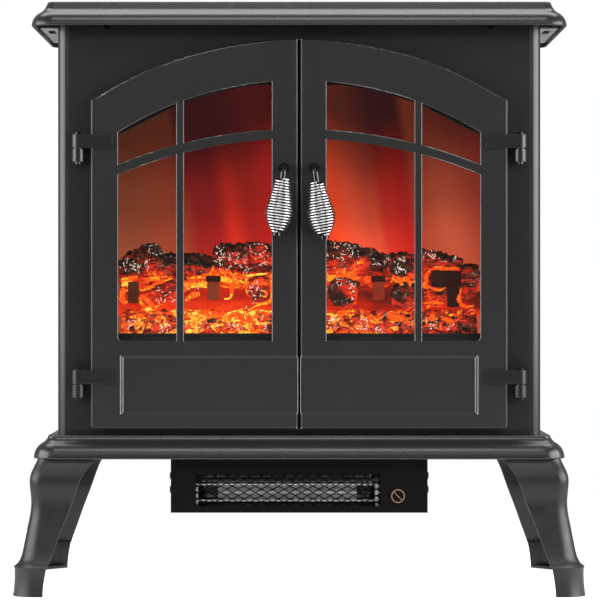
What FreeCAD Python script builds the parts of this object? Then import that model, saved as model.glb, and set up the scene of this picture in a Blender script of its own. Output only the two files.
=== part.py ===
"""Free-standing electric fireplace stove with two arched doors and a fan heater under its base.

Millimetres, +Z up, +X to the right as seen from the front, the front faces -Y.
The origin is on the floor, midway between the four feet.
Each function makes one sub-part, and the last section writes one STEP file per sub-part.
"""
import FreeCAD
import Part
import math
import os

V = FreeCAD.Vector
X_AXIS, Y_AXIS, Z_AXIS = V(1, 0, 0), V(0, 1, 0), V(0, 0, 1)
ORIGIN = V(0, 0, 0)

# ---------------------------------------------------------------- driving sizes
SHEET = 1.5              # pressed steel of the case
SLIP = 0.2               # gap where one sheet part slides inside another

LEG_H = 134.5            # floor to the underside of the base
BASE_H = 23.5            # height of the base moulding
BODY_H = 432.0           # top of the base moulding to the top of the stove
TOP_H = 25.0             # height of the top moulding
BODY_W = 484.0
BODY_D = 206.0
BODY_CORNER_R = 10.5     # rounded front corners of the side panels

LIP_SIDE = 23.0          # how far both mouldings stand out past the body
LIP_FRONT = 24.0
LIP_REAR = 20.0
LIP_CORNER_R = 22.0      # plan radius of the mouldings' corners
LIP_SHEET = 1.6
TOP_PAST = 2.0           # the top's lip past the base's, all round
LIP_SCREW_UP = 1.8       # foot of the top's lip to the two screws behind it

# ogee moulding, inwards from the outermost lip and down from its flat top
TOP_BAND = 7.0           # depth of the nearly upright band under the top edge
BASE_BAND = 4.0
OGEE_BAND_IN = 13.0      # lip to the band's foot
OGEE_BAND_LEAN = 0.55
OGEE_EDGE_R = 2.6
OGEE_SHOULDER = (8.2, 4.1)  # from the lip, and below the band's foot
OGEE_LIP_ROUND = 1.5
OGEE_TUCK = 0.9          # lip's foot tucks in this far
FLOOR_FIT = 0.25         # base lip to the floor plate inside it

DOOR_T = 11.0            # depth of a door pan
DOOR_SHEET = 1.6
DOOR_GAP = 2.4           # between the two doors
DOOR_BEHIND = 1.3        # between a door and the fascia
DOOR_MARGIN = 34.4       # body's side to the door's hinge edge
DOOR_FOOT_GAP = 6.1      # base moulding to the door's bottom edge
DOOR_HEAD_GAP = 37.4     # doors' highest point to the top of the stove
DOOR_ARCH_DROP = 61.2    # doors' highest point down to their outer shoulders
DOOR_EDGE_R = 2.0
DOOR_CORNER_R = 3.0
DOOR_HEM = 8.0           # flange turned in along the meeting edge

STILE_MEETING = 26.0     # door's meeting edge to its first window
STILE_HINGE = 27.3       # door's hinge edge to its last window
MUNTIN = 7.6             # upright bar between the windows
INNER_SHARE = 0.602      # part of the windows' width that the inner ones have
TOP_RAIL = 41.7          # arched top rail
BOTTOM_RAIL = 87.9       # door's bottom edge to the windows
CROSSBAR = 9.7           # curved bar between upper and lower windows
CROSSBAR_R = 478.0
CROSSBAR_DROP = 89.6     # door's highest point down to the crossbar
WINDOW_CORNER_R = 4.0
WINDOW_EDGE_R = 0.6

RECESS_DEPTH = 2.0       # sunk field across the foot of both doors
RECESS_SLOPE = 2.6
RECESS_MARGIN = 29.6     # hinge edge to the field
RECESS_FOOT = 14.5       # bottom edge to the field
RECESS_H = 58.5

GLASS_T = 3.0
GLASS_LAP = 6.0          # glass reaches this far past the windows
GLASS_SEAT = 0.1

HINGE_OUT = 12.8         # door's hinge edge to the pin's axis
KNUCKLE_R = 6.2
KNUCKLE_OFF = 0.6        # least gap between a knuckle and the fascia
PIN_R = 3.0
PIN_PLAY = 0.06          # running clearance of the door's knuckle
STRAP_T = 2.2
STRAP_H = 13.4
STRAP_LAP = 21.8         # strap over the door's face
KNUCKLE_GAP = 1.2        # washer between the knuckles
LOWER_KNUCKLE_H = 12.6
UPPER_HINGE_DROP = 47.4  # door's outer shoulder to the underside of the upper strap
LOWER_HINGE_UP = 44.9    # door's bottom edge to the underside of the lower strap

HANDLE_X = 15.2          # spindle from the centre line
HANDLE_UP = 259.9        # door's bottom edge to the spindle
HANDLE_OUT = 15.4        # rod's axis from the door's face
ROD_R = 3.2
ROD_BEND_R = 7.0
ROD_TIP = 3.0            # rod below the coil
HANDLE_TILT = {"left": 6.0, "right": 8.0}
COIL_DROP = {"left": 11.0, "right": 14.5}
COIL_L = 54.0
COIL_R_TOP = 7.2
COIL_R_MAX = 13.4
COIL_R_END = 5.2
COIL_BELLY = 0.62        # widest place, as a share of the length
COIL_CONE = 0.62         # how far the upper part runs straight, the rest of its rise is a soft curve
COIL_WIRE = 2.1
COIL_TURNS = 19

OPENING_PAST = 2.7       # fascia's window reaches this far past the doors' windows
OPENING_SILL = 7.2       # fascia's sill above the bottom of the doors' windows
OPENING_TRIM = 0.9       # fascia's arch below the doors' windows

FIREBOX_PAST = 7.0       # fascia's window to the firebox wall
FIREBOX_D = 104.0        # fascia to the flame screen
FIREBOX_HEAD = 6.0       # fascia's arch to the firebox ceiling
SCREEN_T = 3.0

EMBER_SIDE = 11.0        # firebox wall to the ember bed
EMBER_FRONT = 10.0       # fascia to the ember bed
EMBER_BACK = 8.0         # flame screen to the ember bed
EMBER_H_FRONT = 16.0
EMBER_H_BACK = 30.0

PANEL_HALF_W = 80.0      # sunk control panel behind the doors
PANEL_UP = 19.7          # top of the base to the panel
PANEL_H = 56.0
PANEL_SINK = 13.0
KNOB_R = 11.0
KNOB_H = 11.5
KNOB_X = {"thermostat": -58.0, "flame": -26.0}
SHAFT_R = 3.0
ROCKER_X = {"power": 8.0, "low_heat": 34.0, "high_heat": 60.0}
ROCKER_W = 12.0
ROCKER_H = 18.0
ROCKER_TILT = 8.0
ROCKER_PIVOT_IN = 4.5    # pivot behind the panel's face
SWITCH_BEZEL = 3.0
SWITCH_D = 24.0

HEATER_HALF_W = 128.0
HEATER_H = 54.0
HEATER_SETBACK = 15.0    # base lip to the heater's face
HEATER_D = 112.0
OUTLET_X0 = -103.0
OUTLET_X1 = 81.0
OUTLET_H = 32.0
OUTLET_UP = 6.7          # bottom of the housing to the outlet
GRILLE_SINK = 5.5
GRILLE_T = 1.0
MESH_PITCH_X = 11.5
MESH_PITCH_Z = 6.4
MESH_STRAND = 1.0
ELEMENT_X0 = -80.5
ELEMENT_X1 = 57.5
ELEMENT_H = 15.0
ELEMENT_UP = 11.7
ELEMENT_D = 12.0
FIN_T = 0.5
FIN_PITCH = 2.4
ROTOR_R = 18.0
ROTOR_L = 170.0
ROTOR_BLADES = 22
ROTOR_BACK = 64.0        # heater's face to the rotor's axis
AXLE_R = 2.5
BEARING_PLAY = 0.05

SPINDLE_R = 2.0
SPINDLE_BACK = 30.0      # flame screen to the flicker spindle
SPINDLE_UP = 44.0        # firebox floor to the spindle
SPINDLE_SIDE = 25.0      # firebox wall to the end of the spindle
FLICKER_PITCH = 27.0
FLICKER_R = 15.0
LAMP_PITCH = 30.0

# logs as (start, end, radius): x as a share of the ember bed's half width,
# y behind the fascia, z above the firebox floor
LOGS = (
    ((-0.99, 62, 62), (-0.62, 70, 76), 15),
    ((-0.81, 40, 58), (-0.47, 66, 60), 14),
    ((-0.50, 74, 72), (-0.13, 58, 76), 16),
    ((-0.67, 34, 44), (-0.22, 40, 40), 12),
    ((-0.17, 66, 70), (0.43, 68, 74), 17),
    ((0.29, 32, 44), (0.33, 68, 46), 15),
    ((0.53, 30, 52), (0.56, 68, 60), 14),
    ((0.49, 70, 70), (0.92, 66, 62), 14),
    ((0.83, 36, 50), (0.99, 60, 54), 11),
)

# leg stations: (height, stands out past the lip, wall width, corner radius)
LEG_SHAFT = (
    (134.5, -4.4, 58.5, 10.0),
    (118.0, 2.3, 52.5, 12.0),
    (107.0, 2.7, 48.0, 12.0),
    (90.0, 1.6, 41.0, 12.5),
    (70.0, 4.4, 36.0, 14.0),
    (48.0, 8.8, 32.4, 16.0),
    (35.5, 12.3, 31.3, 18.0),
    (28.5, 18.4, 35.0, 21.0),
)
LEG_FOOT = (
    (28.5, 17.6, 33.5, 20.8),
    (14.0, 17.5, 30.8, 20.4),
    (0.0, 19.0, 31.0, 21.4),
)
LEG_WALL = 3.2
LEG_FLANGE = 40.0
LEG_FLANGE_T = 4.0
LEG_WEB_T = 3.0
BOLT_R = 2.5
BOLT_HOLE_R = 2.75
BOLT_HEAD_R = 4.6
BOLT_HEAD_H = 3.5

PLATE_W = 21.0           # zinc-coated plates under the top's side overhang
PLATE_UP = 3.0           # lip of the top to the plates
PLATE_BACK = 40.0        # fascia to the plates
PLATE_L = 156.0
PLATE_SLOT = (7.2, 31.0)
PLATE_SLOT_IN = 8.5      # body to the slot
PLATE_SLOT_BACK = 25.0

GLAND_R = 9.0
GLAND_BORE_R = 3.8
GLAND_X = 150.0
GLAND_UP = 26.0
SCREW_R = 1.6
SCREW_HEAD_R = 3.4

# ---------------------------------------------------------------- worked-out places
base_z = LEG_H
body_z = base_z + BASE_H
stove_h = body_z + BODY_H
body_x = BODY_W / 2
front_y = -(BODY_D + LIP_FRONT + LIP_REAR) / 2 + LIP_FRONT
rear_y = front_y + BODY_D
lip_x = body_x + LIP_SIDE
lip_y = (BODY_D + LIP_FRONT + LIP_REAR) / 2
plate_under = stove_h - LIP_SHEET

door_back = front_y - DOOR_BEHIND
door_face = door_back - DOOR_T
door_in = DOOR_GAP / 2
door_out = body_x - DOOR_MARGIN
door_z = body_z + DOOR_FOOT_GAP
door_top = stove_h - DOOR_HEAD_GAP
door_r = (door_out ** 2 + DOOR_ARCH_DROP ** 2) / (2 * DOOR_ARCH_DROP)
arch_z = door_top - door_r
window_z = door_z + BOTTOM_RAIL
window_r = door_r - TOP_RAIL
crossbar_z = door_top - CROSSBAR_DROP - CROSSBAR_R
window_in = door_in + STILE_MEETING
window_out = door_out - STILE_HINGE
muntin_in = window_in + (window_out - window_in - MUNTIN) * INNER_SHARE
muntin_out = muntin_in + MUNTIN

pin_x = door_out + HINGE_OUT
strap_y = door_face - STRAP_T
pin_y = min(strap_y + KNUCKLE_R, front_y - KNUCKLE_OFF - KNUCKLE_R)
hinge_levels = [door_z + LOWER_HINGE_UP, door_top - DOOR_ARCH_DROP - UPPER_HINGE_DROP]
handle_z = door_z + HANDLE_UP

opening_x = window_out + OPENING_PAST
sill_z = window_z + OPENING_SILL
opening_r = window_r - OPENING_TRIM
fascia_back = front_y + SHEET
firebox_x = opening_x + FIREBOX_PAST
ember_x = firebox_x - EMBER_SIDE
spindle_half = firebox_x - SPINDLE_SIDE
floor_z = sill_z - 1.5
screen_y = front_y + FIREBOX_D
ceiling_z = arch_z + opening_r + FIREBOX_HEAD
panel_y = front_y + PANEL_SINK
panel_z = body_z + PANEL_UP
control_z = panel_z + PANEL_H / 2
heater_y = -lip_y + HEATER_SETBACK
heater_z = base_z - HEATER_H
outlet_z = heater_z + OUTLET_UP
rotor_y = heater_y + ROTOR_BACK
rotor_z = base_z - HEATER_H / 2
spindle_y = screen_y + SCREEN_T + SPINDLE_BACK
spindle_z = floor_z + SPINDLE_UP


# ---------------------------------------------------------------- helpers
def box(x0, x1, y0, y1, z0, z1):
    return Part.makeBox(x1 - x0, y1 - y0, z1 - z0, V(x0, y0, z0))


def rod(radius, start, end):
    along = end - start
    return Part.makeCylinder(radius, along.Length, start, along)


def tube(outer, inner, start, end):
    return rod(outer, start, end).cut(rod(inner, start, end))


def line(a, b):
    return Part.LineSegment(a, b).toShape()


def arc(a, middle, b):
    return Part.Arc(a, middle, b).toShape()


def plate(edges, thickness):
    """A face from edges in an XZ plane, thickened towards +Y."""
    return Part.Face(Part.Wire(edges)).extrude(V(0, thickness, 0))


def polygon(points):
    return Part.Face(Part.makePolygon(list(points) + [points[0]]))


def fused(shapes):
    first, rest = shapes[0], shapes[1:]
    return first.multiFuse(rest).removeSplitter() if rest else first


def mirrored(shape):
    """The same piece on the other side of the stove."""
    return shape.mirror(ORIGIN, X_AXIS)


def group(solids):
    return Part.makeCompound(list(solids))


def circle_z(x, centre_z, radius):
    return centre_z + math.sqrt(radius ** 2 - x ** 2)


def arch_edge(x0, x1, y, centre_z, radius):
    """Part of a circle centred on the stove's middle, from x0 to x1."""
    places = [x0, (x0 + x1) / 2, x1]
    return arc(*[V(x, y, circle_z(x, centre_z, radius)) for x in places])


def slots(x0, x1, y0, y1, z0, count, pitch, height):
    """A stack of long air slots, as solids to cut."""
    return group(box(x0, x1, y0, y1, z0 + i * pitch, z0 + i * pitch + height) for i in range(count))


# ---------------------------------------------------------------- mouldings
def ogee_inset(band):
    """How far the flat top stops inside the lip."""
    return OGEE_BAND_IN + (band - OGEE_EDGE_R) * OGEE_BAND_LEAN


def ogee_section(height, band):
    """Section of the moulded edge as an XZ face, its outermost lip at x = 0, inwards along +X."""
    t = LIP_SHEET
    edge, foot = ogee_inset(band), OGEE_BAND_IN
    shoulder = (OGEE_SHOULDER[0], band + OGEE_SHOULDER[1])
    cove_mid = ((foot + shoulder[0]) / 2 + 0.4, (band + shoulder[1]) / 2 + 0.2)
    belly_mid = (shoulder[0] * 0.34, shoulder[1] + (height - shoulder[1]) * 0.33)

    def at(inwards, down):
        return V(inwards, 0, -down)

    corner = OGEE_EDGE_R * (1 - math.sqrt(0.5))
    outer = [
        arc(at(edge + OGEE_EDGE_R, 0), at(edge + corner, corner), at(edge, OGEE_EDGE_R)),
        line(at(edge, OGEE_EDGE_R), at(foot, band)),
        arc(at(foot, band), at(*cove_mid), at(*shoulder)),
        arc(at(*shoulder), at(*belly_mid), at(0, height - OGEE_LIP_ROUND)),
        arc(at(0, height - OGEE_LIP_ROUND), at(0.3, height - 0.4), at(OGEE_TUCK, height)),
    ]
    inner_foot = at(OGEE_TUCK + t, height)
    inner_shoulder = at(shoulder[0] + t, shoulder[1] + t)
    inner = [
        line(at(OGEE_TUCK, height), inner_foot),
        arc(inner_foot, at(belly_mid[0] + t + 0.5, belly_mid[1] + t), inner_shoulder),
        arc(inner_shoulder, at(cove_mid[0] + t, cove_mid[1] + t), at(foot + t, band + t)),
        line(at(foot + t, band + t), at(edge + t, t)),
        line(at(edge + t, t), at(edge + OGEE_EDGE_R, t)),
        line(at(edge + OGEE_EDGE_R, t), at(edge + OGEE_EDGE_R, 0)),
    ]
    return Part.Face(Part.Wire(outer + inner))


def moulding(top_z, height, band, past):
    """A flat plate with the ogee edge pressed down all round it."""
    r, half_x, half_y = LIP_CORNER_R, lip_x + past, lip_y + past
    section = ogee_section(height, band)
    west = section.copy()
    west.translate(V(-half_x, -half_y + r, top_z))
    pieces = [west.extrude(V(0, 2 * (half_y - r), 0))]
    south = section.copy()
    south.rotate(ORIGIN, Z_AXIS, 90)
    south.translate(V(-half_x + r, -half_y, top_z))
    pieces.append(south.extrude(V(2 * (half_x - r), 0, 0)))
    corner = section.copy()
    corner.translate(V(-half_x, -half_y + r, top_z))
    pieces.append(corner.revolve(V(-half_x + r, -half_y + r, 0), Z_AXIS, 90))
    pieces.append(pieces[0].mirror(ORIGIN, X_AXIS))
    pieces.append(pieces[1].mirror(ORIGIN, Y_AXIS))
    pieces.append(pieces[2].mirror(ORIGIN, X_AXIS))
    pieces.append(pieces[2].mirror(ORIGIN, Y_AXIS))
    pieces.append(pieces[5].mirror(ORIGIN, Y_AXIS))
    inset = ogee_inset(band) + OGEE_EDGE_R
    flat = box(-half_x + inset, half_x - inset, -half_y + inset, half_y - inset, top_z - LIP_SHEET, top_z)
    upright = [e for e in flat.Edges if abs(e.tangentAt(e.FirstParameter).z) > 0.9]
    pieces.append(flat.makeFillet(r - inset, upright))
    return fused(pieces)


def top_panel():
    return moulding(stove_h, TOP_H, TOP_BAND, TOP_PAST)


def base_panel():
    return moulding(body_z, BASE_H, BASE_BAND, 0)


def overhang_plates():
    """Slotted plates that close the side overhangs of the top, each hung from a flange."""
    z = stove_h - TOP_H + PLATE_UP
    x = -body_x
    y0 = front_y + PLATE_BACK
    sheet = box(x - PLATE_W, x, y0, y0 + PLATE_L, z, z + SHEET)
    hanger = box(x - SHEET, x, y0, y0 + PLATE_L, z + SHEET, plate_under)
    slot_x, slot_y = x - PLATE_SLOT_IN, y0 + PLATE_SLOT_BACK
    slot = box(slot_x - PLATE_SLOT[0], slot_x, slot_y, slot_y + PLATE_SLOT[1], z - 1, z + SHEET + 1)
    left = fused([sheet, hanger]).cut(slot)
    return group([left, mirrored(left)])


def bolt_places():
    """Plan positions of the two bolts in each leg's flange."""
    height, out, width, radius = LEG_SHAFT[0]
    corner = V(lip_x + out - LEG_WALL, lip_y + out - LEG_WALL, 0)
    near, far = 13.0, 30.0
    spots = []
    for sx in (-1, 1):
        for sy in (-1, 1):
            spots.append(V(sx * (corner.x - near), sy * (corner.y - far), 0))
            spots.append(V(sx * (corner.x - far), sy * (corner.y - near), 0))
    return spots


def floor_plate():
    """Flat plate closing the base moulding, which carries the legs and the heater."""
    inset = OGEE_TUCK + LIP_SHEET + FLOOR_FIT
    sheet = box(-lip_x + inset, lip_x - inset, -lip_y + inset, lip_y - inset, base_z, base_z + SHEET)
    upright = [e for e in sheet.Edges if abs(e.tangentAt(e.FirstParameter).z) > 0.9]
    sheet = sheet.makeFillet(LIP_CORNER_R - inset, upright)
    for spot in bolt_places():
        sheet = sheet.cut(rod(BOLT_HOLE_R, spot + V(0, 0, base_z - 1), spot + V(0, 0, base_z + SHEET + 1)))
    return sheet


# ---------------------------------------------------------------- case
def side_panel():
    """Left side: flat sheet with a rounded front corner and a flange turned in behind the fascia."""
    r, t = BODY_CORNER_R, SHEET
    x, y = -body_x, front_y
    k = math.sqrt(0.5)
    centre = V(x + r, y + r, 0)
    tail = y + r + 4.0
    edges = [
        line(V(x, rear_y, 0), V(x, y + r, 0)),
        arc(V(x, y + r, 0), centre + V(-r * k, -r * k, 0), V(x + r, y, 0)),
        line(V(x + r, y, 0), V(x + r, tail, 0)),
        line(V(x + r, tail, 0), V(x + r - t, tail, 0)),
        line(V(x + r - t, tail, 0), V(x + r - t, y + t + 0.4, 0)),
        arc(V(x + r - t, y + t + 0.4, 0), centre + V(-(r - t) * k, -(r - t) * k, 0), V(x + t, y + r, 0)),
        line(V(x + t, y + r, 0), V(x + t, rear_y, 0)),
        line(V(x + t, rear_y, 0), V(x, rear_y, 0)),
    ]
    wall = Part.Face(Part.Wire(edges))
    wall.translate(V(0, 0, body_z))
    return wall.extrude(V(0, 0, plate_under - body_z))


def opening_edges(y):
    """Outline of the fascia's window: arch in the middle, straight flanks outside it."""
    w, f = opening_x, muntin_out
    flank_z = circle_z(f, arch_z, opening_r)
    side_z = circle_z(w, arch_z, opening_r)
    return [
        line(V(-w, y, sill_z), V(w, y, sill_z)),
        line(V(w, y, sill_z), V(w, y, side_z)),
        line(V(w, y, side_z), V(f, y, flank_z)),
        arch_edge(f, -f, y, arch_z, opening_r),
        line(V(-f, y, flank_z), V(-w, y, side_z)),
        line(V(-w, y, side_z), V(-w, y, sill_z)),
    ]


def magnet_places():
    z = (door_top + arch_z + opening_r) / 2 - 2
    return [V(sign * (door_in + DOOR_HEM / 2 + 1), 0, z) for sign in (-1, 1)]


def magnet_hole(spot, grow):
    half_w, half_h = 3.5 + grow, 9.0 + grow
    return box(spot.x - half_w, spot.x + half_w, front_y - 1, front_y + 9, spot.z - half_h, spot.z + half_h)


def front_fascia():
    x = body_x - BODY_CORNER_R - SLIP
    sheet = box(-x, x, front_y, fascia_back, body_z, plate_under)
    sheet = sheet.cut(plate(opening_edges(front_y - 1), SHEET + 2))
    panel = box(-PANEL_HALF_W, PANEL_HALF_W, front_y - 1, fascia_back + 1, panel_z, panel_z + PANEL_H)
    sheet = sheet.cut(panel)
    for spot in magnet_places():
        sheet = sheet.cut(magnet_hole(spot, SLIP))
    for place in front_screw_places():
        sheet = sheet.cut(rod(SCREW_R, place - Y_AXIS * 5, place + Y_AXIS * 5))
    return sheet


def door_magnets():
    return group(magnet_hole(spot, 0) for spot in magnet_places())


def gland_place():
    return V(GLAND_X, rear_y, body_z + GLAND_UP)


def front_screw_places():
    """The two screws under the front lip."""
    return [V(sign * (body_x - 50), front_y, stove_h - TOP_H + LIP_SCREW_UP) for sign in (-1, 1)]


def back_screw_places():
    x = body_x - SHEET - 8
    levels = (body_z + 12, (body_z + stove_h) / 2, stove_h - 16)
    return [V(sign * x, rear_y, z) for sign in (-1, 1) for z in levels]


def back_panel():
    x = body_x - SHEET - SLIP
    y0 = rear_y - SHEET
    sheet = box(-x, x, y0, rear_y, body_z, plate_under)
    for x0 in (-150, 30):
        sheet = sheet.cut(slots(x0, x0 + 120, y0 - 1, rear_y + 1, stove_h - 90, 7, 9, 3.5))
        sheet = sheet.cut(slots(x0, x0 + 120, y0 - 1, rear_y + 1, body_z + 60, 5, 9, 3.5))
    spot = gland_place()
    sheet = sheet.cut(rod(GLAND_R - 2, spot - V(0, 5, 0), spot + V(0, 5, 0)))
    for place in back_screw_places():
        sheet = sheet.cut(rod(SCREW_R, place - V(0, 5, 0), place + V(0, 5, 0)))
    flanges = [box(-x, -x + 14, y0 - 10, y0, body_z, plate_under)]
    flanges[0] = flanges[0].cut(box(-x + SHEET, -x + 15, y0 - 11, y0, body_z - 1, plate_under + 1))
    flanges.append(mirrored(flanges[0]))
    return fused([sheet] + flanges)


def cord_gland():
    """Round bush through the back panel that the mains lead would leave by."""
    spot = gland_place()
    inner, outer = spot - V(0, SHEET + 7, 0), spot + V(0, 8, 0)
    flange = rod(GLAND_R, spot, spot + V(0, 3, 0))
    nose = Part.makeCone(GLAND_R - 2, GLAND_BORE_R + 1.8, 5, spot + V(0, 3, 0), Y_AXIS)
    neck = rod(GLAND_R - 2, inner, spot)
    return fused([flange, nose, neck]).cut(rod(GLAND_BORE_R, inner - V(0, 1, 0), outer + V(0, 1, 0)))


def pan_screw(place, outwards, length):
    """A pan-head screw whose head sits on place."""
    head = rod(SCREW_HEAD_R, place, place + outwards * 1.6)
    shank = rod(SCREW_R, place - outwards * length, place)
    return fused([head, shank])


def case_screws():
    made = [pan_screw(p, Y_AXIS, SHEET) for p in back_screw_places()]
    made += [pan_screw(p, -Y_AXIS, SHEET) for p in front_screw_places()]
    made += [pan_screw(p, X_AXIS * (1 if p.x > 0 else -1), SHEET) for p in heater_screw_places()]
    return group(made)


# ---------------------------------------------------------------- firebox and flame effect
def firebox_floor():
    return box(-firebox_x - SHEET, firebox_x + SHEET, fascia_back, screen_y + 8, floor_z - SHEET, floor_z)


def firebox_walls():
    left = box(-firebox_x - SHEET, -firebox_x, fascia_back, screen_y + 8, floor_z, ceiling_z)
    return group([left, mirrored(left)])


def firebox_ceiling():
    x = firebox_x + SHEET
    return box(-x, x, fascia_back, screen_y + 8, ceiling_z, ceiling_z + SHEET)


def flame_screen():
    x = firebox_x - SLIP
    return box(-x, x, screen_y, screen_y + SCREEN_T, floor_z, ceiling_z - SLIP)


def ember_bed():
    """Translucent moulded bed, higher at the back, on the firebox floor."""
    y0, y1 = fascia_back + EMBER_FRONT, screen_y - EMBER_BACK
    side = polygon([
        V(-ember_x, y0, floor_z),
        V(-ember_x, y1, floor_z),
        V(-ember_x, y1, floor_z + EMBER_H_BACK),
        V(-ember_x, y0 + 8, floor_z + EMBER_H_FRONT),
        V(-ember_x, y0, floor_z + EMBER_H_FRONT - 8),
    ])
    return side.extrude(V(2 * ember_x, 0, 0))


def log_set():
    """The moulded logs, one piece that rests on the ember bed."""
    logs = []
    for (ax, ay, az), (bx, by, bz), radius in LOGS:
        start = V(ax * ember_x, fascia_back + ay, floor_z + az)
        end = V(bx * ember_x, fascia_back + by, floor_z + bz)
        logs.append(rod(radius, start, end))
    x, y0, y1 = 0.84 * ember_x, fascia_back + 50, screen_y - EMBER_BACK - 6
    saddle = box(-x, x, y0, y1, floor_z, floor_z + 60)
    return fused(logs + [saddle]).cut(ember_bed())


def led_board():
    """Lamp strip under the flicker spindle, on feet."""
    x, y, z = spindle_half - 10, spindle_y, floor_z
    strip = box(-x, x, y - 8, y + 8, z + 8, z + 9.6)
    feet = [box(s * (x - 12) - 4, s * (x - 12) + 4, y - 8, y + 8, z, z + 8) for s in (-1, 1)]
    shelf = box(-firebox_x, firebox_x, screen_y + 8, y + 16, z - SHEET, z)
    return fused([strip, shelf] + feet)


def led_lamps():
    count = int((2 * spindle_half - 60) / LAMP_PITCH) + 1
    x0 = -(count - 1) * LAMP_PITCH / 2
    z = floor_z + 9.6
    lamps = []
    for i in range(count):
        x = x0 + i * LAMP_PITCH
        lamps.append(rod(3.5, V(x, spindle_y, z), V(x, spindle_y, z + 3)))
    return group(lamps)


def flame_spindle():
    """Thin rod with bright flicker vanes that turns in front of the lamps."""
    half = spindle_half
    pieces = [rod(SPINDLE_R, V(-half, spindle_y, spindle_z), V(half, spindle_y, spindle_z))]
    count = int((2 * half - 40) / FLICKER_PITCH)
    reach = FLICKER_PITCH * 0.36
    for i in range(count):
        x = (i + 0.5 - count / 2) * FLICKER_PITCH
        vane = box(x - reach, x + reach, spindle_y - FLICKER_R, spindle_y + FLICKER_R,
                   spindle_z - 0.4, spindle_z + 0.4)
        vane.rotate(V(x, spindle_y, spindle_z), X_AXIS, i * 50)
        pieces.append(vane)
    return fused(pieces)


def flame_motor():
    """Small synchronous motor on the left, with a socket for the spindle and a foot on the lamp shelf."""
    x1 = -spindle_half + 8
    x0 = -firebox_x + 2
    can = rod(17, V(x0, spindle_y, spindle_z), V(x1 - 10, spindle_y, spindle_z))
    nose = rod(5, V(x1 - 10, spindle_y, spindle_z), V(x1, spindle_y, spindle_z))
    foot = box(x0, x1 - 12, spindle_y - 12, spindle_y + 12, floor_z, spindle_z - 8)
    start, end = V(-spindle_half - 0.5, spindle_y, spindle_z), V(x1 + 1, spindle_y, spindle_z)
    socket = rod(SPINDLE_R + BEARING_PLAY, start, end)
    return fused([can, nose, foot]).cut(socket)


def shaft_bearings():
    """Bearing post of the flicker spindle and bearing block of the fan."""
    x = spindle_half - 6
    post = box(x, x + 8, spindle_y - 7, spindle_y + 7, floor_z, spindle_z + 7)
    hole = rod(SPINDLE_R + BEARING_PLAY, V(x - 1, spindle_y, spindle_z), V(x + 9, spindle_y, spindle_z))
    fan_x = rotor_x0() - 3
    block = box(fan_x - 8, fan_x, rotor_y - 9, rotor_y + 9, rotor_z - 9, base_z)
    fan_hole = rod(AXLE_R + BEARING_PLAY, V(fan_x - 9, rotor_y, rotor_z), V(fan_x + 1, rotor_y, rotor_z))
    return group([post.cut(hole), block.cut(fan_hole)])


# ---------------------------------------------------------------- controls
def control_panel():
    """Sunk tray behind the doors with holes for the shafts and the switches."""
    t = SHEET
    x, z0, z1 = PANEL_HALF_W - SLIP, panel_z + SLIP, panel_z + PANEL_H - SLIP
    tray = box(-x, x, front_y + SLIP, panel_y + t, z0, z1)
    tray = tray.cut(box(-x + t, x - t, front_y - 1, panel_y, z0 + t, z1 - t))
    flange = box(-x - 5, x + 5, fascia_back, fascia_back + 1, z0 - 5, z1 + 5)
    flange = flange.cut(box(-x, x, fascia_back - 1, fascia_back + 2, z0, z1))
    tray = fused([tray, flange])
    for x in KNOB_X.values():
        spot = V(x, panel_y, control_z)
        tray = tray.cut(rod(SHAFT_R + 1.5, spot - V(0, 1, 0), spot + V(0, t + 1, 0)))
    for x in ROCKER_X.values():
        half_w, half_h = ROCKER_W / 2 + 1.5, ROCKER_H / 2 + 2.5
        tray = tray.cut(box(x - half_w, x + half_w, panel_y - 1, panel_y + t + 1,
                            control_z - half_h, control_z + half_h))
    return tray


def control_bodies():
    """Thermostat and dimmer bodies fixed behind the panel."""
    sizes = {"thermostat": (15.0, 22.0), "flame": (10.0, 14.0)}
    made = []
    for name, (half, depth) in sizes.items():
        x, y = KNOB_X[name], panel_y + SHEET
        block = box(x - half, x + half, y, y + depth, control_z - half, control_z + half)
        hole = rod(SHAFT_R + BEARING_PLAY, V(x, y - 1, control_z), V(x, y + 8, control_z))
        made.append(block.cut(hole))
    return group(made)


def knob(x, pointer_deg):
    """Ribbed knob with a raised pointer, on its own shaft."""
    z = control_z
    y_face = panel_y - KNOB_H - 0.4
    body = Part.makeCone(KNOB_R * 0.86, KNOB_R, KNOB_H, V(x, y_face, z), Y_AXIS)
    flutes = []
    for i in range(18):
        a = math.radians(20 * i + 10)
        foot = V(x + (KNOB_R + 0.5) * math.cos(a), y_face - 1, z + (KNOB_R + 0.5) * math.sin(a))
        flutes.append(rod(1.1, foot, foot + V(0, KNOB_H - 1.5, 0)))
    body = body.cut(group(flutes))
    pointer = box(x - 0.8, x + 0.8, y_face - 0.5, y_face + 1, z + 1.5, z + KNOB_R * 0.84)
    shaft = rod(SHAFT_R, V(x, panel_y - 1, z), V(x, panel_y + SHEET + 7, z))
    whole = fused([body, pointer, shaft])
    whole.rotate(V(x, 0, z), Y_AXIS, pointer_deg)
    return whole


def rocker_pivot(x):
    return V(x, panel_y + ROCKER_PIVOT_IN, control_z)


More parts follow.
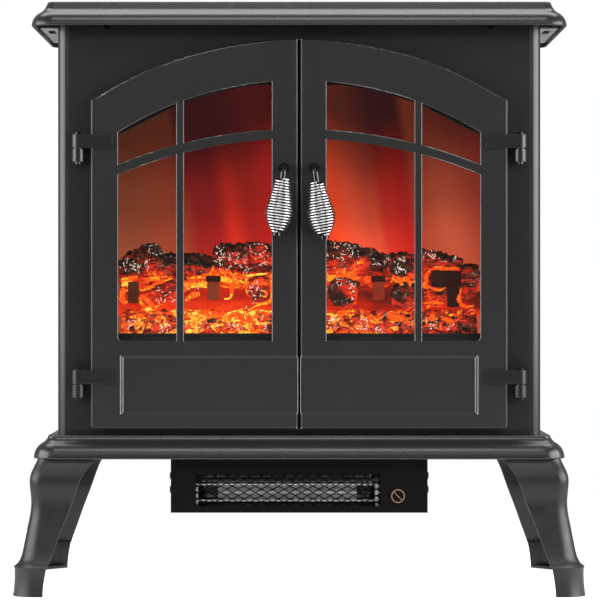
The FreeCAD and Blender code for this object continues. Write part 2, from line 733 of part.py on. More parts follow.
def switch_housings():
    """Bezel and body of each rocker switch."""
    made = []
    for x in ROCKER_X.values():
        z = control_z
        half_w, half_h = ROCKER_W / 2 + 1.5, ROCKER_H / 2 + 2.5
        bezel = box(x - half_w - SWITCH_BEZEL, x + half_w + SWITCH_BEZEL, panel_y - 1.5, panel_y,
                    z - half_h - SWITCH_BEZEL, z + half_h + SWITCH_BEZEL)
        barrel = box(x - half_w + SLIP, x + half_w - SLIP, panel_y, panel_y + SWITCH_D,
                     z - half_h + SLIP, z + half_h - SLIP)
        pocket = box(x - ROCKER_W / 2 - 0.3, x + ROCKER_W / 2 + 0.3, panel_y - 2, panel_y + SWITCH_D - 8,
                     z - ROCKER_H / 2 - 1.4, z + ROCKER_H / 2 + 1.4)
        made.append(fused([bezel, barrel]).cut(pocket))
    return group(made)


def rocker(x, tilt):
    """Rocker with a shallow V face, tilted to its switched position."""
    pivot = rocker_pivot(x)
    half, proud = ROCKER_H / 2, 2.2
    face_y = panel_y - proud
    outline = [
        V(x - ROCKER_W / 2, face_y - 0.6, pivot.z - half),
        V(x - ROCKER_W / 2, face_y + 0.9, pivot.z),
        V(x - ROCKER_W / 2, face_y - 0.6, pivot.z + half),
        V(x - ROCKER_W / 2, pivot.y - 0.5, pivot.z + half),
        V(x - ROCKER_W / 2, pivot.y + 6, pivot.z + 3),
        V(x - ROCKER_W / 2, pivot.y + 6, pivot.z - 3),
        V(x - ROCKER_W / 2, pivot.y - 0.5, pivot.z - half),
    ]
    body = polygon(outline).extrude(V(ROCKER_W, 0, 0))
    body.rotate(pivot, X_AXIS, tilt)
    return body


def control_board():
    """Circuit board with its relays and terminal block, beside the controls."""
    x0, x1, y = 92.0, 172.0, fascia_back + 14
    z0, z1 = body_z + 12, floor_z - SHEET - 14
    board = box(x0, x1, y, y + 1.6, z0, z1)
    relays = [box(x0 + 8 + 24 * i, x0 + 26 + 24 * i, y + 1.6, y + 17, z0 + 38, z0 + 60) for i in range(3)]
    block = box(x0 + 10, x1 - 10, y + 1.6, y + 14, z0 + 6, z0 + 20)
    feet = [box(px, px + 5, y, y + 10, body_z, z0) for px in (x0 + 4, x1 - 9)]
    return fused([board, block] + relays + feet)


# ---------------------------------------------------------------- heater
def heater_screw_places():
    z0 = heater_z + 22
    return [V(sign * HEATER_HALF_W, heater_y + 16, z) for sign in (-1, 1) for z in (z0, z0 + 14)]


def rotor_x0():
    return OUTLET_X0 + 6


def heater_housing():
    """Open-topped steel box under the base, with an outlet in front and intake slots behind."""
    t, w = SHEET, HEATER_HALF_W
    y0, y1 = heater_y, heater_y + HEATER_D
    shell = box(-w, w, y0, y1, heater_z, base_z)
    shell = shell.cut(box(-w + t, w - t, y0 + t, y1 - t, heater_z + t, base_z + 1))
    shell = shell.cut(box(OUTLET_X0, OUTLET_X1, y0 - 1, y0 + t + 1, outlet_z, outlet_z + OUTLET_H))
    shell = shell.cut(slots(-90, 70, y1 - t - 1, y1 + 1, heater_z + 10, 5, 7.5, 3.5))
    for place in heater_screw_places():
        shell = shell.cut(rod(SCREW_R, place - V(5, 0, 0), place + V(5, 0, 0)))
    return shell


def heater_grille():
    """Expanded mesh of staggered diamonds behind the outlet."""
    y = heater_y + GRILLE_SINK
    margin = 4.0
    x0, x1 = OUTLET_X0 - margin, OUTLET_X1 + margin
    z0, z1 = outlet_z - margin, outlet_z + OUTLET_H + margin
    sheet = box(x0, x1, y, y + GRILLE_T, z0, z1)
    half_x = MESH_PITCH_X / 2 - MESH_STRAND
    half_z = MESH_PITCH_Z / 2 - MESH_STRAND * 0.62
    holes = []
    rows = int((z1 - z0) / (MESH_PITCH_Z / 2)) - 1
    columns = int((x1 - x0) / MESH_PITCH_X)
    for row in range(1, rows):
        z = z0 + row * MESH_PITCH_Z / 2 + 1
        shift = MESH_PITCH_X / 2 * (row % 2)
        for column in range(columns):
            x = x0 + MESH_PITCH_X * (column + 0.5) + shift
            inside = x + half_x < x1 - 1 and z + half_z < z1 - 1 and z - half_z > z0 + 1
            if inside:
                points = [V(x - half_x, y - 1, z), V(x, y - 1, z - half_z),
                          V(x + half_x, y - 1, z), V(x, y - 1, z + half_z)]
                holes.append(polygon(points).extrude(V(0, GRILLE_T + 2, 0)))
    sheet = sheet.cut(group(holes))
    rails = [box(x0, x1, heater_y + SHEET, y, z, z + 2.0) for z in (z0, z1 - 2.0)]
    return fused([sheet] + rails)


def heating_element():
    """Finned heater bar held between two aluminium rails and end blocks."""
    y0 = heater_y + GRILLE_SINK + GRILLE_T + 5
    y1 = y0 + ELEMENT_D
    z0 = heater_z + ELEMENT_UP
    z1 = z0 + ELEMENT_H
    rail = 1.2
    pieces = [box(ELEMENT_X0 - 24, ELEMENT_X1 + 22, y0, y1, z, z + rail) for z in (z0 - rail, z1)]
    count = int((ELEMENT_X1 - ELEMENT_X0) / FIN_PITCH)
    for i in range(count + 1):
        x = ELEMENT_X0 + i * FIN_PITCH
        pieces.append(box(x, x + FIN_T, y0, y1, z0, z1))
    pieces.append(box(ELEMENT_X0, ELEMENT_X1, y0 + 4, y1 - 4, (z0 + z1) / 2 - 1.2, (z0 + z1) / 2 + 1.2))
    for x in (ELEMENT_X0 - 24, ELEMENT_X1 + 19):
        pieces.append(box(x, x + 3, y0, y1, heater_z + SHEET, z1 + rail))
    return fused(pieces)


def blower_rotor():
    """Cross-flow fan wheel: end discs and middle disc joined by curved-in blades, on an axle."""
    x0 = rotor_x0()
    x1 = x0 + ROTOR_L
    pieces = []
    for x in (x0, (x0 + x1) / 2 - 0.75, x1 - 1.5):
        pieces.append(rod(ROTOR_R, V(x, rotor_y, rotor_z), V(x + 1.5, rotor_y, rotor_z)))
    for i in range(ROTOR_BLADES):
        blade = box(x0, x1, rotor_y - 0.4, rotor_y + 0.4, rotor_z + ROTOR_R - 6.2, rotor_z + ROTOR_R - 0.3)
        blade.rotate(V(0, rotor_y, rotor_z + ROTOR_R - 3), X_AXIS, 24)
        blade.rotate(V(0, rotor_y, rotor_z), X_AXIS, 360.0 * i / ROTOR_BLADES)
        pieces.append(blade)
    pieces.append(rod(AXLE_R, V(x0 - 10, rotor_y, rotor_z), V(x0 + 1, rotor_y, rotor_z)))
    pieces.append(rod(AXLE_R, V(x1 - 1, rotor_y, rotor_z), V(x1 + 12, rotor_y, rotor_z)))
    return fused(pieces)


def blower_scroll():
    """Curved guide plate over the top and back of the fan wheel, with end cheeks."""
    x0, x1 = rotor_x0() - 1.5, rotor_x0() + ROTOR_L + 1.5
    outer, inner = ROTOR_R + 3.6, ROTOR_R + 2.4
    ring = tube(outer, inner, V(x0, rotor_y, rotor_z), V(x1, rotor_y, rotor_z))
    keep = box(x0, x1, rotor_y - 1, rotor_y + outer + 1, rotor_z + 2, rotor_z + outer + 1)
    hood = ring.common(keep)
    hanger = box(x0, x1, rotor_y - 1, rotor_y + 1, rotor_z + inner + 0.4, base_z)
    return fused([hood, hanger])


def blower_motor():
    """Shaded-pole motor on the right end of the axle, hung from the floor plate."""
    x0 = rotor_x0() + ROTOR_L + 4
    stack = box(x0, x0 + 22, rotor_y - 20, rotor_y + 20, rotor_z - 17, rotor_z + 17)
    coil = box(x0 + 2, x0 + 20, rotor_y + 20, rotor_y + 32, rotor_z - 12, rotor_z + 12)
    hanger = box(x0 + 3, x0 + 19, rotor_y - 14, rotor_y + 14, rotor_z + 17, base_z)
    hole = rod(AXLE_R + BEARING_PLAY, V(x0 - 1, rotor_y, rotor_z), V(x0 + 10, rotor_y, rotor_z))
    return fused([stack, coil, hanger]).cut(hole)


def thermal_cutout():
    """Disc thermostat on the right end plate of the element."""
    x, y = ELEMENT_X1 + 22, heater_y + GRILLE_SINK + GRILLE_T + 5 + ELEMENT_D / 2
    z = heater_z + ELEMENT_UP + ELEMENT_H / 2
    disc = rod(5.5, V(x, y, z), V(x + 5, y, z))
    tabs = [box(x + 5, x + 11, y - 2.5, y + 2.5, z + dz - 0.4, z + dz + 0.4) for dz in (-3, 3)]
    return fused([disc] + tabs)


# ---------------------------------------------------------------- legs
def leg_section(station):
    """L-shaped section with a rounded outer corner, for the front left leg."""
    height, out, width, radius = station
    x, y, t = -(lip_x + out), -(lip_y + out), LEG_WALL
    k = math.sqrt(0.5)
    centre = V(x + radius, y + radius, height)
    inner = radius - t

    def at(dx, dy):
        return V(x + dx, y + dy, height)

    return Part.Wire([
        line(at(width, 0), at(radius, 0)),
        arc(at(radius, 0), centre - V(radius * k, radius * k, 0), at(0, radius)),
        line(at(0, radius), at(0, width)),
        line(at(0, width), at(t, width)),
        line(at(t, width), at(t, radius)),
        arc(at(t, radius), centre - V(inner * k, inner * k, 0), at(radius, t)),
        line(at(radius, t), at(width, t)),
        line(at(width, t), at(width, 0)),
    ])


def scaled_station(station):
    height, out, width, radius = station
    return (height * LEG_H / LEG_SHAFT[0][0], out, width, radius)


def leg():
    """Front left leg: a curved corner shell with a bolting flange on top and a web in its foot."""
    shaft = Part.makeLoft([leg_section(scaled_station(s)) for s in reversed(LEG_SHAFT)], True, False)
    foot = Part.makeLoft([leg_section(scaled_station(s)) for s in reversed(LEG_FOOT)], True, False)
    out = LEG_SHAFT[0][1]
    x, y = -(lip_x + out) + LEG_WALL - 0.6, -(lip_y + out) + LEG_WALL - 0.6
    s = LEG_FLANGE
    cut_off = 12.0
    flange = polygon([V(x + 6, y, 0), V(x + s, y, 0), V(x + s, y + s - cut_off, 0),
                      V(x + s - cut_off, y + s, 0), V(x, y + s, 0), V(x, y + 6, 0)])
    flange.translate(V(0, 0, LEG_H - LEG_FLANGE_T))
    flange = flange.extrude(V(0, 0, LEG_FLANGE_T))
    height, out, width, radius = LEG_FOOT[-1]
    x, y = -(lip_x + out) + LEG_WALL - 0.4, -(lip_y + out) + LEG_WALL - 0.4
    span, near = width - LEG_WALL, radius * 0.42
    web = polygon([V(x + span, y, 0), V(x, y + span, 0), V(x, y + near, 0), V(x + near, y, 0)])
    web = web.extrude(V(0, 0, LEG_WEB_T))
    whole = fused([shaft, foot, flange, web])
    for spot in bolt_places():
        under = spot + V(0, 0, LEG_H - LEG_FLANGE_T)
        whole = whole.cut(rod(BOLT_HOLE_R, under - Z_AXIS, under + Z_AXIS * (LEG_FLANGE_T + 1)))
    return whole


def leg_bolts():
    made = []
    for spot in bolt_places():
        under = spot + V(0, 0, base_z - LEG_FLANGE_T)
        head = rod(BOLT_HEAD_R, under - V(0, 0, BOLT_HEAD_H), under)
        shank = rod(BOLT_R, under, under + V(0, 0, LEG_FLANGE_T + SHEET + 4))
        seat = spot + V(0, 0, base_z + SHEET)
        nut = tube(BOLT_HEAD_R, BOLT_R, seat, seat + Z_AXIS * 3.5)
        made.append(fused([head, shank, nut]))
    return group(made)


# ---------------------------------------------------------------- doors
def door_outline(inset, y):
    """Left door's outline as edges in an XZ plane, drawn in by inset."""
    x0, x1 = -door_out + inset, -door_in - inset
    z0, radius, corner = door_z + inset, door_r - inset, max(DOOR_CORNER_R - inset, 0.8)
    bend = corner * (1 - math.sqrt(0.5))
    return [
        line(V(x1, y, z0), V(x0 + corner, y, z0)),
        arc(V(x0 + corner, y, z0), V(x0 + bend, y, z0 + bend), V(x0, y, z0 + corner)),
        line(V(x0, y, z0 + corner), V(x0, y, circle_z(x0, arch_z, radius))),
        arch_edge(x0, x1, y, arch_z, radius),
        line(V(x1, y, circle_z(x1, arch_z, radius)), V(x1, y, z0)),
    ]


def window_hole(x0, x1, upper):
    """One window of the left door, as a solid to cut, between x0 and x1."""
    y, through = door_face - 1, DOOR_SHEET + 2
    low_r = CROSSBAR_R - CROSSBAR
    if upper:
        edges = [
            arch_edge(x0, x1, y, crossbar_z, CROSSBAR_R),
            line(V(x1, y, circle_z(x1, crossbar_z, CROSSBAR_R)), V(x1, y, circle_z(x1, arch_z, window_r))),
            arch_edge(x1, x0, y, arch_z, window_r),
            line(V(x0, y, circle_z(x0, arch_z, window_r)), V(x0, y, circle_z(x0, crossbar_z, CROSSBAR_R))),
        ]
    else:
        edges = [
            line(V(x0, y, window_z), V(x1, y, window_z)),
            line(V(x1, y, window_z), V(x1, y, circle_z(x1, crossbar_z, low_r))),
            arch_edge(x1, x0, y, crossbar_z, low_r),
            line(V(x0, y, circle_z(x0, crossbar_z, low_r)), V(x0, y, window_z)),
        ]
    return plate(edges, through)


def door_windows():
    """The four windows of the left door."""
    inner = (-muntin_in, -window_in)
    outer = (-window_out, -muntin_out)
    low_outer = window_hole(*outer, False)
    foot = [e for e in low_outer.Edges
            if abs(e.tangentAt(e.FirstParameter).y) > 0.9
            and abs(e.Vertexes[0].X - outer[0]) < 0.01 and abs(e.Vertexes[0].Z - window_z) < 0.01]
    return [
        window_hole(*inner, True),
        window_hole(*inner, False),
        window_hole(*outer, True),
        low_outer.makeFillet(WINDOW_CORNER_R, foot),
    ]


def recess_block(y, sink):
    """Sloping-sided pocket for the sunk field, open towards the meeting edge."""
    def ring(grow, at_y):
        x0, x1 = -door_out + RECESS_MARGIN - grow, 1.0
        z0, z1 = door_z + RECESS_FOOT - grow, door_z + RECESS_FOOT + RECESS_H + grow
        points = [V(x0, at_y, z0), V(x1, at_y, z0), V(x1, at_y, z1), V(x0, at_y, z1)]
        return Part.makePolygon(points + [points[0]])
    slope = RECESS_SLOPE / sink
    front = 1.0
    return Part.makeLoft([ring(slope * front, y - front), ring(-RECESS_SLOPE, y + sink)], True, True)


def spindle_hole():
    start = V(-HANDLE_X, door_face - 1, handle_z)
    return rod(ROD_R + SLIP, start, start + V(0, DOOR_SHEET + 2, 0))


def door_frame():
    """Left door: an arched steel pan with four windows, a sunk field and a hemmed meeting edge."""
    shell = plate(door_outline(0, door_face), DOOR_T)
    front = [e for e in shell.Edges if all(abs(v.Y - door_face) < 0.01 for v in e.Vertexes)]
    shell = shell.makeFillet(DOOR_EDGE_R, front)
    skin_back = door_face + DOOR_SHEET
    cavity = plate(door_outline(DOOR_SHEET, skin_back), DOOR_T)
    cavity = cavity.cut(recess_block(door_face + DOOR_SHEET, RECESS_DEPTH))
    hem = box(-door_in - DOOR_HEM, -door_in, door_back - DOOR_SHEET, door_back,
              door_z, circle_z(door_in + DOOR_HEM, arch_z, door_r - DOOR_SHEET))
    cavity = cavity.cut(hem)
    shell = shell.cut(cavity).cut(recess_block(door_face, RECESS_DEPTH))
    shell = shell.cut(group(door_windows())).cut(spindle_hole())
    rims = []
    for e in shell.Edges:
        on_face = all(abs(v.Y - door_face) < 0.01 for v in e.Vertexes)
        middle = e.valueAt((e.FirstParameter + e.LastParameter) / 2)
        in_windows = (-window_out - 0.1 < middle.x < -window_in + 0.1
                      and window_z - 0.1 < middle.z < circle_z(middle.x, arch_z, window_r) + 0.1)
        if on_face and in_windows:
            rims.append(e)
    return shell.makeFillet(WINDOW_EDGE_R, rims)


def door_glass():
    """Left door's pane, cut to the arch, seated against the back of the skin."""
    y = door_face + DOOR_SHEET + GLASS_SEAT
    x0, x1 = -window_out - GLASS_LAP, -window_in + GLASS_LAP
    z0, radius = window_z - GLASS_LAP, window_r + GLASS_LAP
    return plate([
        line(V(x0, y, z0), V(x0, y, circle_z(x0, arch_z, radius))),
        arch_edge(x0, x1, y, arch_z, radius),
        line(V(x1, y, circle_z(x1, arch_z, radius)), V(x1, y, z0)),
        line(V(x1, y, z0), V(x0, y, z0)),
    ], GLASS_T)


def glass_clips():
    """Four clips that hold the left pane against the skin."""
    y0 = door_face + DOOR_SHEET
    y1 = y0 + GLASS_SEAT + GLASS_T
    edges = {-1: -window_out - GLASS_LAP, 1: -window_in + GLASS_LAP}
    side_h = circle_z(window_out, arch_z, window_r) - window_z
    made = []
    for sign, edge in edges.items():
        for z in (window_z + 0.2 * side_h, window_z + 0.7 * side_h):
            reach = [edge + sign * SLIP, edge + sign * 7.0]
            stand = box(min(reach), max(reach), y0, y1 + 1.2, z - 6, z + 6)
            grip = [edge - sign * 4.5, edge + sign * SLIP]
            arm = box(min(grip), max(grip), y1, y1 + 1.2, z - 6, z + 6)
            made.append(fused([stand, arm]))
    return group(made)


def hinge_straps():
    """Left door's two straps, each with a knuckle that turns on a pin."""
    made = []
    for z in hinge_levels:
        top = z + STRAP_H
        barrel = rod(KNUCKLE_R, V(-pin_x, pin_y, z), V(-pin_x, pin_y, top))
        strap = box(-pin_x, -door_out + STRAP_LAP, strap_y, door_face, z, top)
        ends = [e for e in strap.Edges if abs(e.tangentAt(e.FirstParameter).y) > 0.9
                and e.Vertexes[0].X > -door_out]
        strap = strap.makeFillet(1.5, ends)
        bore = rod(PIN_R + PIN_PLAY, V(-pin_x, pin_y, z - 1), V(-pin_x, pin_y, top + 1))
        made.append(fused([barrel, strap]).cut(bore))
    return group(made)


def hinge_brackets():
    """Fixed lower knuckles on leaves screwed to the fascia."""
    made = []
    for z in hinge_levels:
        top = z - KNUCKLE_GAP
        foot = top - LOWER_KNUCKLE_H
        barrel = rod(KNUCKLE_R, V(-pin_x, pin_y, foot), V(-pin_x, pin_y, top))
        leaf = box(-pin_x - 5.5, -pin_x + 5.5, pin_y, front_y, foot, top)
        bore = rod(PIN_R, V(-pin_x, pin_y, foot - 1), V(-pin_x, pin_y, top + 1))
        left = fused([barrel, leaf]).cut(bore)
        made += [left, mirrored(left)]
    return group(made)


def hinge_pins():
    """Headed pins with a washer between the knuckles."""
    made = []
    for z in hinge_levels:
        foot = z - KNUCKLE_GAP - LOWER_KNUCKLE_H - 2.2
        top = z + STRAP_H
        shank = rod(PIN_R, V(-pin_x, pin_y, foot), V(-pin_x, pin_y, top + 0.3))
        head = Part.makeCone(PIN_R + 1.4, PIN_R - 0.4, 2.2, V(-pin_x, pin_y, top + 0.3), Z_AXIS)
        washer = rod(PIN_R + 1.2, V(-pin_x, pin_y, z - KNUCKLE_GAP), V(-pin_x, pin_y, z - 0.2))
        left = fused([shank, head, washer])
        made += [left, mirrored(left)]
    return group(made)


def handle_axis(side):
    """Where the rod turns down and the direction that it hangs in, drawn for the left door."""
    tilt = math.radians(HANDLE_TILT[side])
    corner = V(-HANDLE_X, door_face - HANDLE_OUT, handle_z)
    return corner, V(-math.sin(tilt), 0, -math.cos(tilt))


def handle_rod(side):
    """Bent rod with a collar against the door, a collar above the coil and a round tip."""
    corner, down = handle_axis(side)
    start = V(-HANDLE_X, door_back - 3.2, handle_z)
    before = corner + V(0, ROD_BEND_R, 0)
    after = corner + down * ROD_BEND_R
    k = 1 - math.sqrt(0.5)
    middle = corner + V(0, ROD_BEND_R * k, 0) + down * (ROD_BEND_R * k)
    end = corner + down * (COIL_DROP[side] + COIL_L + ROD_TIP)
    path = Part.Wire([line(start, before), arc(before, middle, after), line(after, end)])
    ring = Part.Wire([Part.Circle(start, Y_AXIS, ROD_R).toShape()])
    bar = path.makePipeShell([ring], True, False)
    collar = rod(ROD_R + 1.8, V(-HANDLE_X, door_face - 2, handle_z), V(-HANDLE_X, door_face, handle_z))
    tip = rod(COIL_R_END - 0.4, corner + down * (COIL_DROP[side] + COIL_L + 0.6), end)
    return fused([bar, collar, tip])


def coil_radius(share):
    """Radius of the coil's outside at a share of its length."""
    if share < COIL_BELLY:
        rise = share / COIL_BELLY
        flare = COIL_CONE * rise + (1 - COIL_CONE) * math.sin(rise * math.pi / 2) ** 2
        return COIL_R_TOP + (COIL_R_MAX - COIL_R_TOP) * flare
    fall = math.cos((share - COIL_BELLY) / (1 - COIL_BELLY) * math.pi / 2) ** 0.8
    return COIL_R_END + (COIL_R_MAX - COIL_R_END) * fall


def handle_coil(side):
    """Close-wound barrel coil as a hollow ribbed sleeve, one rib for each turn of the wire."""
    corner, down = handle_axis(side)
    hole, groove = ROD_R + 0.1, COIL_WIRE / 2

    def at(radius, share):
        return V(radius, 0, -share * COIL_L)

    def core(share):
        return coil_radius(share) - groove

    edges = [line(at(hole, 0), at(core(0), 0))]
    for i in range(COIL_TURNS):
        a, m, b = i / COIL_TURNS, (i + 0.5) / COIL_TURNS, (i + 1) / COIL_TURNS
        edges.append(arc(at(core(a), a), at(coil_radius(m), m), at(core(b), b)))
    wall = COIL_WIRE * 1.2
    edges += [
        line(at(core(1), 1), at(hole, 1)),
        line(at(hole, 1), at(hole, 0.94)),
        line(at(hole, 0.94), at(COIL_R_MAX - wall, COIL_BELLY)),
        line(at(COIL_R_MAX - wall, COIL_BELLY), at(hole, 0.06)),
        line(at(hole, 0.06), at(hole, 0)),
    ]
    sleeve = Part.Face(Part.Wire(edges)).revolve(ORIGIN, Z_AXIS, 360)
    sleeve.rotate(ORIGIN, Y_AXIS, HANDLE_TILT[side])
    sleeve.translate(corner + down * COIL_DROP[side])
    return sleeve


def handle_nut(side):
    """Washer and hexagon nut behind the door's skin."""
    y0 = door_face + DOOR_SHEET
    centre = V(-HANDLE_X, y0, handle_z)
    washer = rod(ROD_R + 2.4, centre, centre + V(0, 1, 0))
    corner = centre + V(5.2, 1, 0)
    hexagon = []
    for angle in range(0, 360, 60):
        turn = FreeCAD.Placement(ORIGIN, FreeCAD.Rotation(Y_AXIS, angle), centre)
        hexagon.append(turn.multVec(corner))
    nut = polygon(hexagon).extrude(V(0, 3.6, 0))
    return fused([washer, nut]).cut(rod(ROD_R, centre - V(0, 1, 0), centre + V(0, 6, 0)))


# ---------------------------------------------------------------- sub-parts and files
def door_parts():
    made = {}
    for side in ("left", "right"):
        shapes = {
            "door_frame": door_frame(),
            "door_glass": door_glass(),
            "glass_clips": glass_clips(),
            "hinge_straps": hinge_straps(),
            "handle_rod": handle_rod(side),
            "handle_coil": handle_coil(side),
            "handle_nut": handle_nut(side),
        }
        for name, shape in shapes.items():
            made[f"{side}_{name}"] = shape if side == "left" else mirrored(shape)
    return made


def leg_parts():
    front_left = leg()
    rear_left = front_left.mirror(ORIGIN, Y_AXIS)
    return {
        "leg_front_left": front_left,
        "leg_front_right": mirrored(front_left),
        "leg_rear_left": rear_left,
        "leg_rear_right": mirrored(rear_left),
    }


def control_parts():
    made = {f"{name}_knob": knob(x, -135) for name, x in KNOB_X.items()}
    for name, x in ROCKER_X.items():
        made[f"{name}_rocker"] = rocker(x, ROCKER_TILT)
    return made


def single_parts():
    makers = [
        top_panel, overhang_plates, base_panel, floor_plate, front_fascia, back_panel, door_magnets, cord_gland,
        case_screws, firebox_floor, firebox_walls, firebox_ceiling, flame_screen, ember_bed, log_set, led_board,
        led_lamps, flame_spindle, flame_motor, shaft_bearings, control_panel, control_bodies, switch_housings,
        control_board, heater_housing, heater_grille, heating_element, blower_rotor, blower_scroll,
        blower_motor, thermal_cutout, leg_bolts, hinge_brackets, hinge_pins,
    ]
    return {maker.__name__: maker() for maker in makers}


def main():
    parts = single_parts()
    parts["left_side_panel"] = side_panel()
    parts["right_side_panel"] = mirrored(parts["left_side_panel"])
    parts.update(leg_parts())
    parts.update(door_parts())
    parts.update(control_parts())
    os.makedirs("parts", exist_ok=True)
    for name, shape in sorted(parts.items()):
        shape.exportStep(f"parts/{name}.step")
        print(name, len(shape.Solids), "solids, valid", shape.isValid())


main()
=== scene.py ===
import math
import random

import bpy
from mathutils import Matrix, Vector, noise
from mathutils.bvhtree import BVHTree


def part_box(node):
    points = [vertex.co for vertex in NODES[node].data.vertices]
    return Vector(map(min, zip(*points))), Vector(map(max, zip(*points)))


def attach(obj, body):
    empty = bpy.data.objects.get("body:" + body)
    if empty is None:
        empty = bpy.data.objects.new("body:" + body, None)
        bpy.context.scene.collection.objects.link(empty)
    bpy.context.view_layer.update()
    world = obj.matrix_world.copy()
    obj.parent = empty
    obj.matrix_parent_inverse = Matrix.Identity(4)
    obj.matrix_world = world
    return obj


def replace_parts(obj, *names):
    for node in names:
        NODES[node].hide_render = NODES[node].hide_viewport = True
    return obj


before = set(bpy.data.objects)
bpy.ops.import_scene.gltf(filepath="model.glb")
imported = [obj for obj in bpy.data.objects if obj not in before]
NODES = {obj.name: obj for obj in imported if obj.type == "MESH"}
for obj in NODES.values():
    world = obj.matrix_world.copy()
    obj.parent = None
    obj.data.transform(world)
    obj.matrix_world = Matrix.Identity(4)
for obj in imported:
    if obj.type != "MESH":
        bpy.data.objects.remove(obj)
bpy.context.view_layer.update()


# ------------------------------------------------------------------ node helpers
SURFACE_INPUTS = {
    "color": "Base Color", "rough": "Roughness", "metal": "Metallic", "normal": "Normal",
    "glow": "Emission Color", "glow_strength": "Emission Strength", "alpha": "Alpha",
    "specular": "Specular IOR Level",
}


def scaled(color, factor):
    """A color made lighter or darker."""
    return tuple(min(1.0, c * factor) for c in color)


class Shader:
    """One material and the small set of nodes that this scene needs."""

    def __init__(self, name):
        self.mat = bpy.data.materials.new(name)
        self.mat.use_nodes = True
        self.tree = self.mat.node_tree
        self.tree.nodes.clear()
        out = self.node("ShaderNodeOutputMaterial")
        self.bsdf = self.node("ShaderNodeBsdfPrincipled")
        self.link(self.bsdf.outputs["BSDF"], out.inputs["Surface"])
        self.place = self.node("ShaderNodeTexCoord").outputs["Object"]

    def node(self, kind, **values):
        made = self.tree.nodes.new(kind)
        for key, value in values.items():
            setattr(made, key, value)
        return made

    def link(self, a, b):
        self.tree.links.new(a, b)

    def put(self, socket, value):
        """Sets or links one input."""
        if isinstance(value, bpy.types.NodeSocket):
            self.link(value, socket)
        elif isinstance(value, (tuple, list)) and len(value) == 3 and socket.type == "RGBA":
            socket.default_value = (*value, 1.0)
        else:
            socket.default_value = value

    def set(self, **values):
        """Sets or links the surface's inputs, and gives back the material."""
        for key, value in values.items():
            self.put(self.bsdf.inputs[SURFACE_INPUTS[key]], value)
        return self.mat

    def math(self, kind, a, b=0.0, c=0.0, clamp=False):
        made = self.node("ShaderNodeMath", operation=kind, use_clamp=clamp)
        for socket, value in zip(made.inputs, (a, b, c)):
            self.put(socket, value)
        return made.outputs[0]

    def swing(self, value, amount):
        """Turns a value between 0 and 1 into a swing about zero."""
        return self.math("MULTIPLY", self.math("SUBTRACT", value, 0.5), amount)

    def ridge(self, value):
        """Zero along the lines where the value is one half."""
        return self.math("ABSOLUTE", self.math("SUBTRACT", value, 0.5))

    def stretch(self, scale):
        made = self.node("ShaderNodeMapping")
        self.link(self.place, made.inputs["Vector"])
        made.inputs["Scale"].default_value = scale
        return made.outputs[0]

    def noise(self, scale, detail=2.0, rough=0.5, place=None, twist=0.0):
        made = self.node("ShaderNodeTexNoise")
        self.link(place or self.place, made.inputs["Vector"])
        made.inputs["Scale"].default_value = scale
        made.inputs["Detail"].default_value = detail
        made.inputs["Roughness"].default_value = rough
        made.inputs["Distortion"].default_value = twist
        return made.outputs["Fac"]

    def voronoi(self, feature, scale, place):
        made = self.node("ShaderNodeTexVoronoi", feature=feature)
        self.link(place or self.place, made.inputs["Vector"])
        made.inputs["Scale"].default_value = scale
        return made.outputs

    def seams(self, scale, place=None):
        """Distance to the nearest seam between cells."""
        return self.voronoi("DISTANCE_TO_EDGE", scale, place)["Distance"]

    def cell_colors(self, scale, place=None):
        """A random color for each cell."""
        return self.voronoi("F1", scale, place)["Color"]

    def ramp(self, value, stops, smooth=False):
        made = self.node("ShaderNodeValToRGB")
        self.put(made.inputs["Fac"], value)
        made.color_ramp.interpolation = "EASE" if smooth else "LINEAR"
        points = made.color_ramp.elements
        while len(points) < len(stops):
            points.new(0.5)
        for point, (at, _) in zip(points, stops):
            point.position = at
        for point, (_, color) in zip(points, stops):
            point.color = (*color, 1.0) if isinstance(color, tuple) else (color, color, color, 1.0)
        return made.outputs["Color"]

    def span(self, value, low, high, to_low=0.0, to_high=1.0):
        made = self.node("ShaderNodeMapRange")
        self.put(made.inputs["Value"], value)
        ends = {"From Min": low, "From Max": high, "To Min": to_low, "To Max": to_high}
        for name, number in ends.items():
            self.put(made.inputs[name], number)
        return made.outputs["Result"]

    def mix(self, factor, a, b, kind="MIX"):
        made = self.node("ShaderNodeMix", data_type="RGBA", blend_type=kind)
        self.put(made.inputs["Factor"], factor)
        self.put(made.inputs[6], a)
        self.put(made.inputs[7], b)
        return made.outputs[2]

    def split(self, vector):
        made = self.node("ShaderNodeSeparateXYZ")
        self.link(vector, made.inputs[0])
        return made.outputs

    def facing(self):
        return self.split(self.node("ShaderNodeNewGeometry").outputs["Normal"])

    def edges(self, radius):
        """Share of each point on a side-facing rounded edge, for painted highlights, and the softened
        normal.
        """
        soft = self.node("ShaderNodeBevel", samples=6)
        soft.inputs["Radius"].default_value = radius
        soft_x, _, soft_z = self.split(soft.outputs["Normal"])
        flat_x, _, flat_z = self.facing()
        side = self.math("ABSOLUTE", self.math("SUBTRACT", soft_x, flat_x))
        top = self.math("MULTIPLY", self.math("ABSOLUTE", self.math("SUBTRACT", soft_z, flat_z)), 0.10)
        return self.span(self.math("ADD", side, top), 0.06, 0.24), soft.outputs["Normal"]

    def bump(self, height, strength, distance, under=None):
        made = self.node("ShaderNodeBump")
        if under:
            self.link(under, made.inputs["Normal"])
        made.inputs["Strength"].default_value = strength
        made.inputs["Distance"].default_value = distance
        self.link(height, made.inputs["Height"])
        return made.outputs["Normal"]


# ------------------------------------------------------------------ materials
# radius of the rounded edges: it softens their normal and sets the width of the painted highlight along
# them
HIGHLIGHT_EDGE_RADIUS = 0.0008


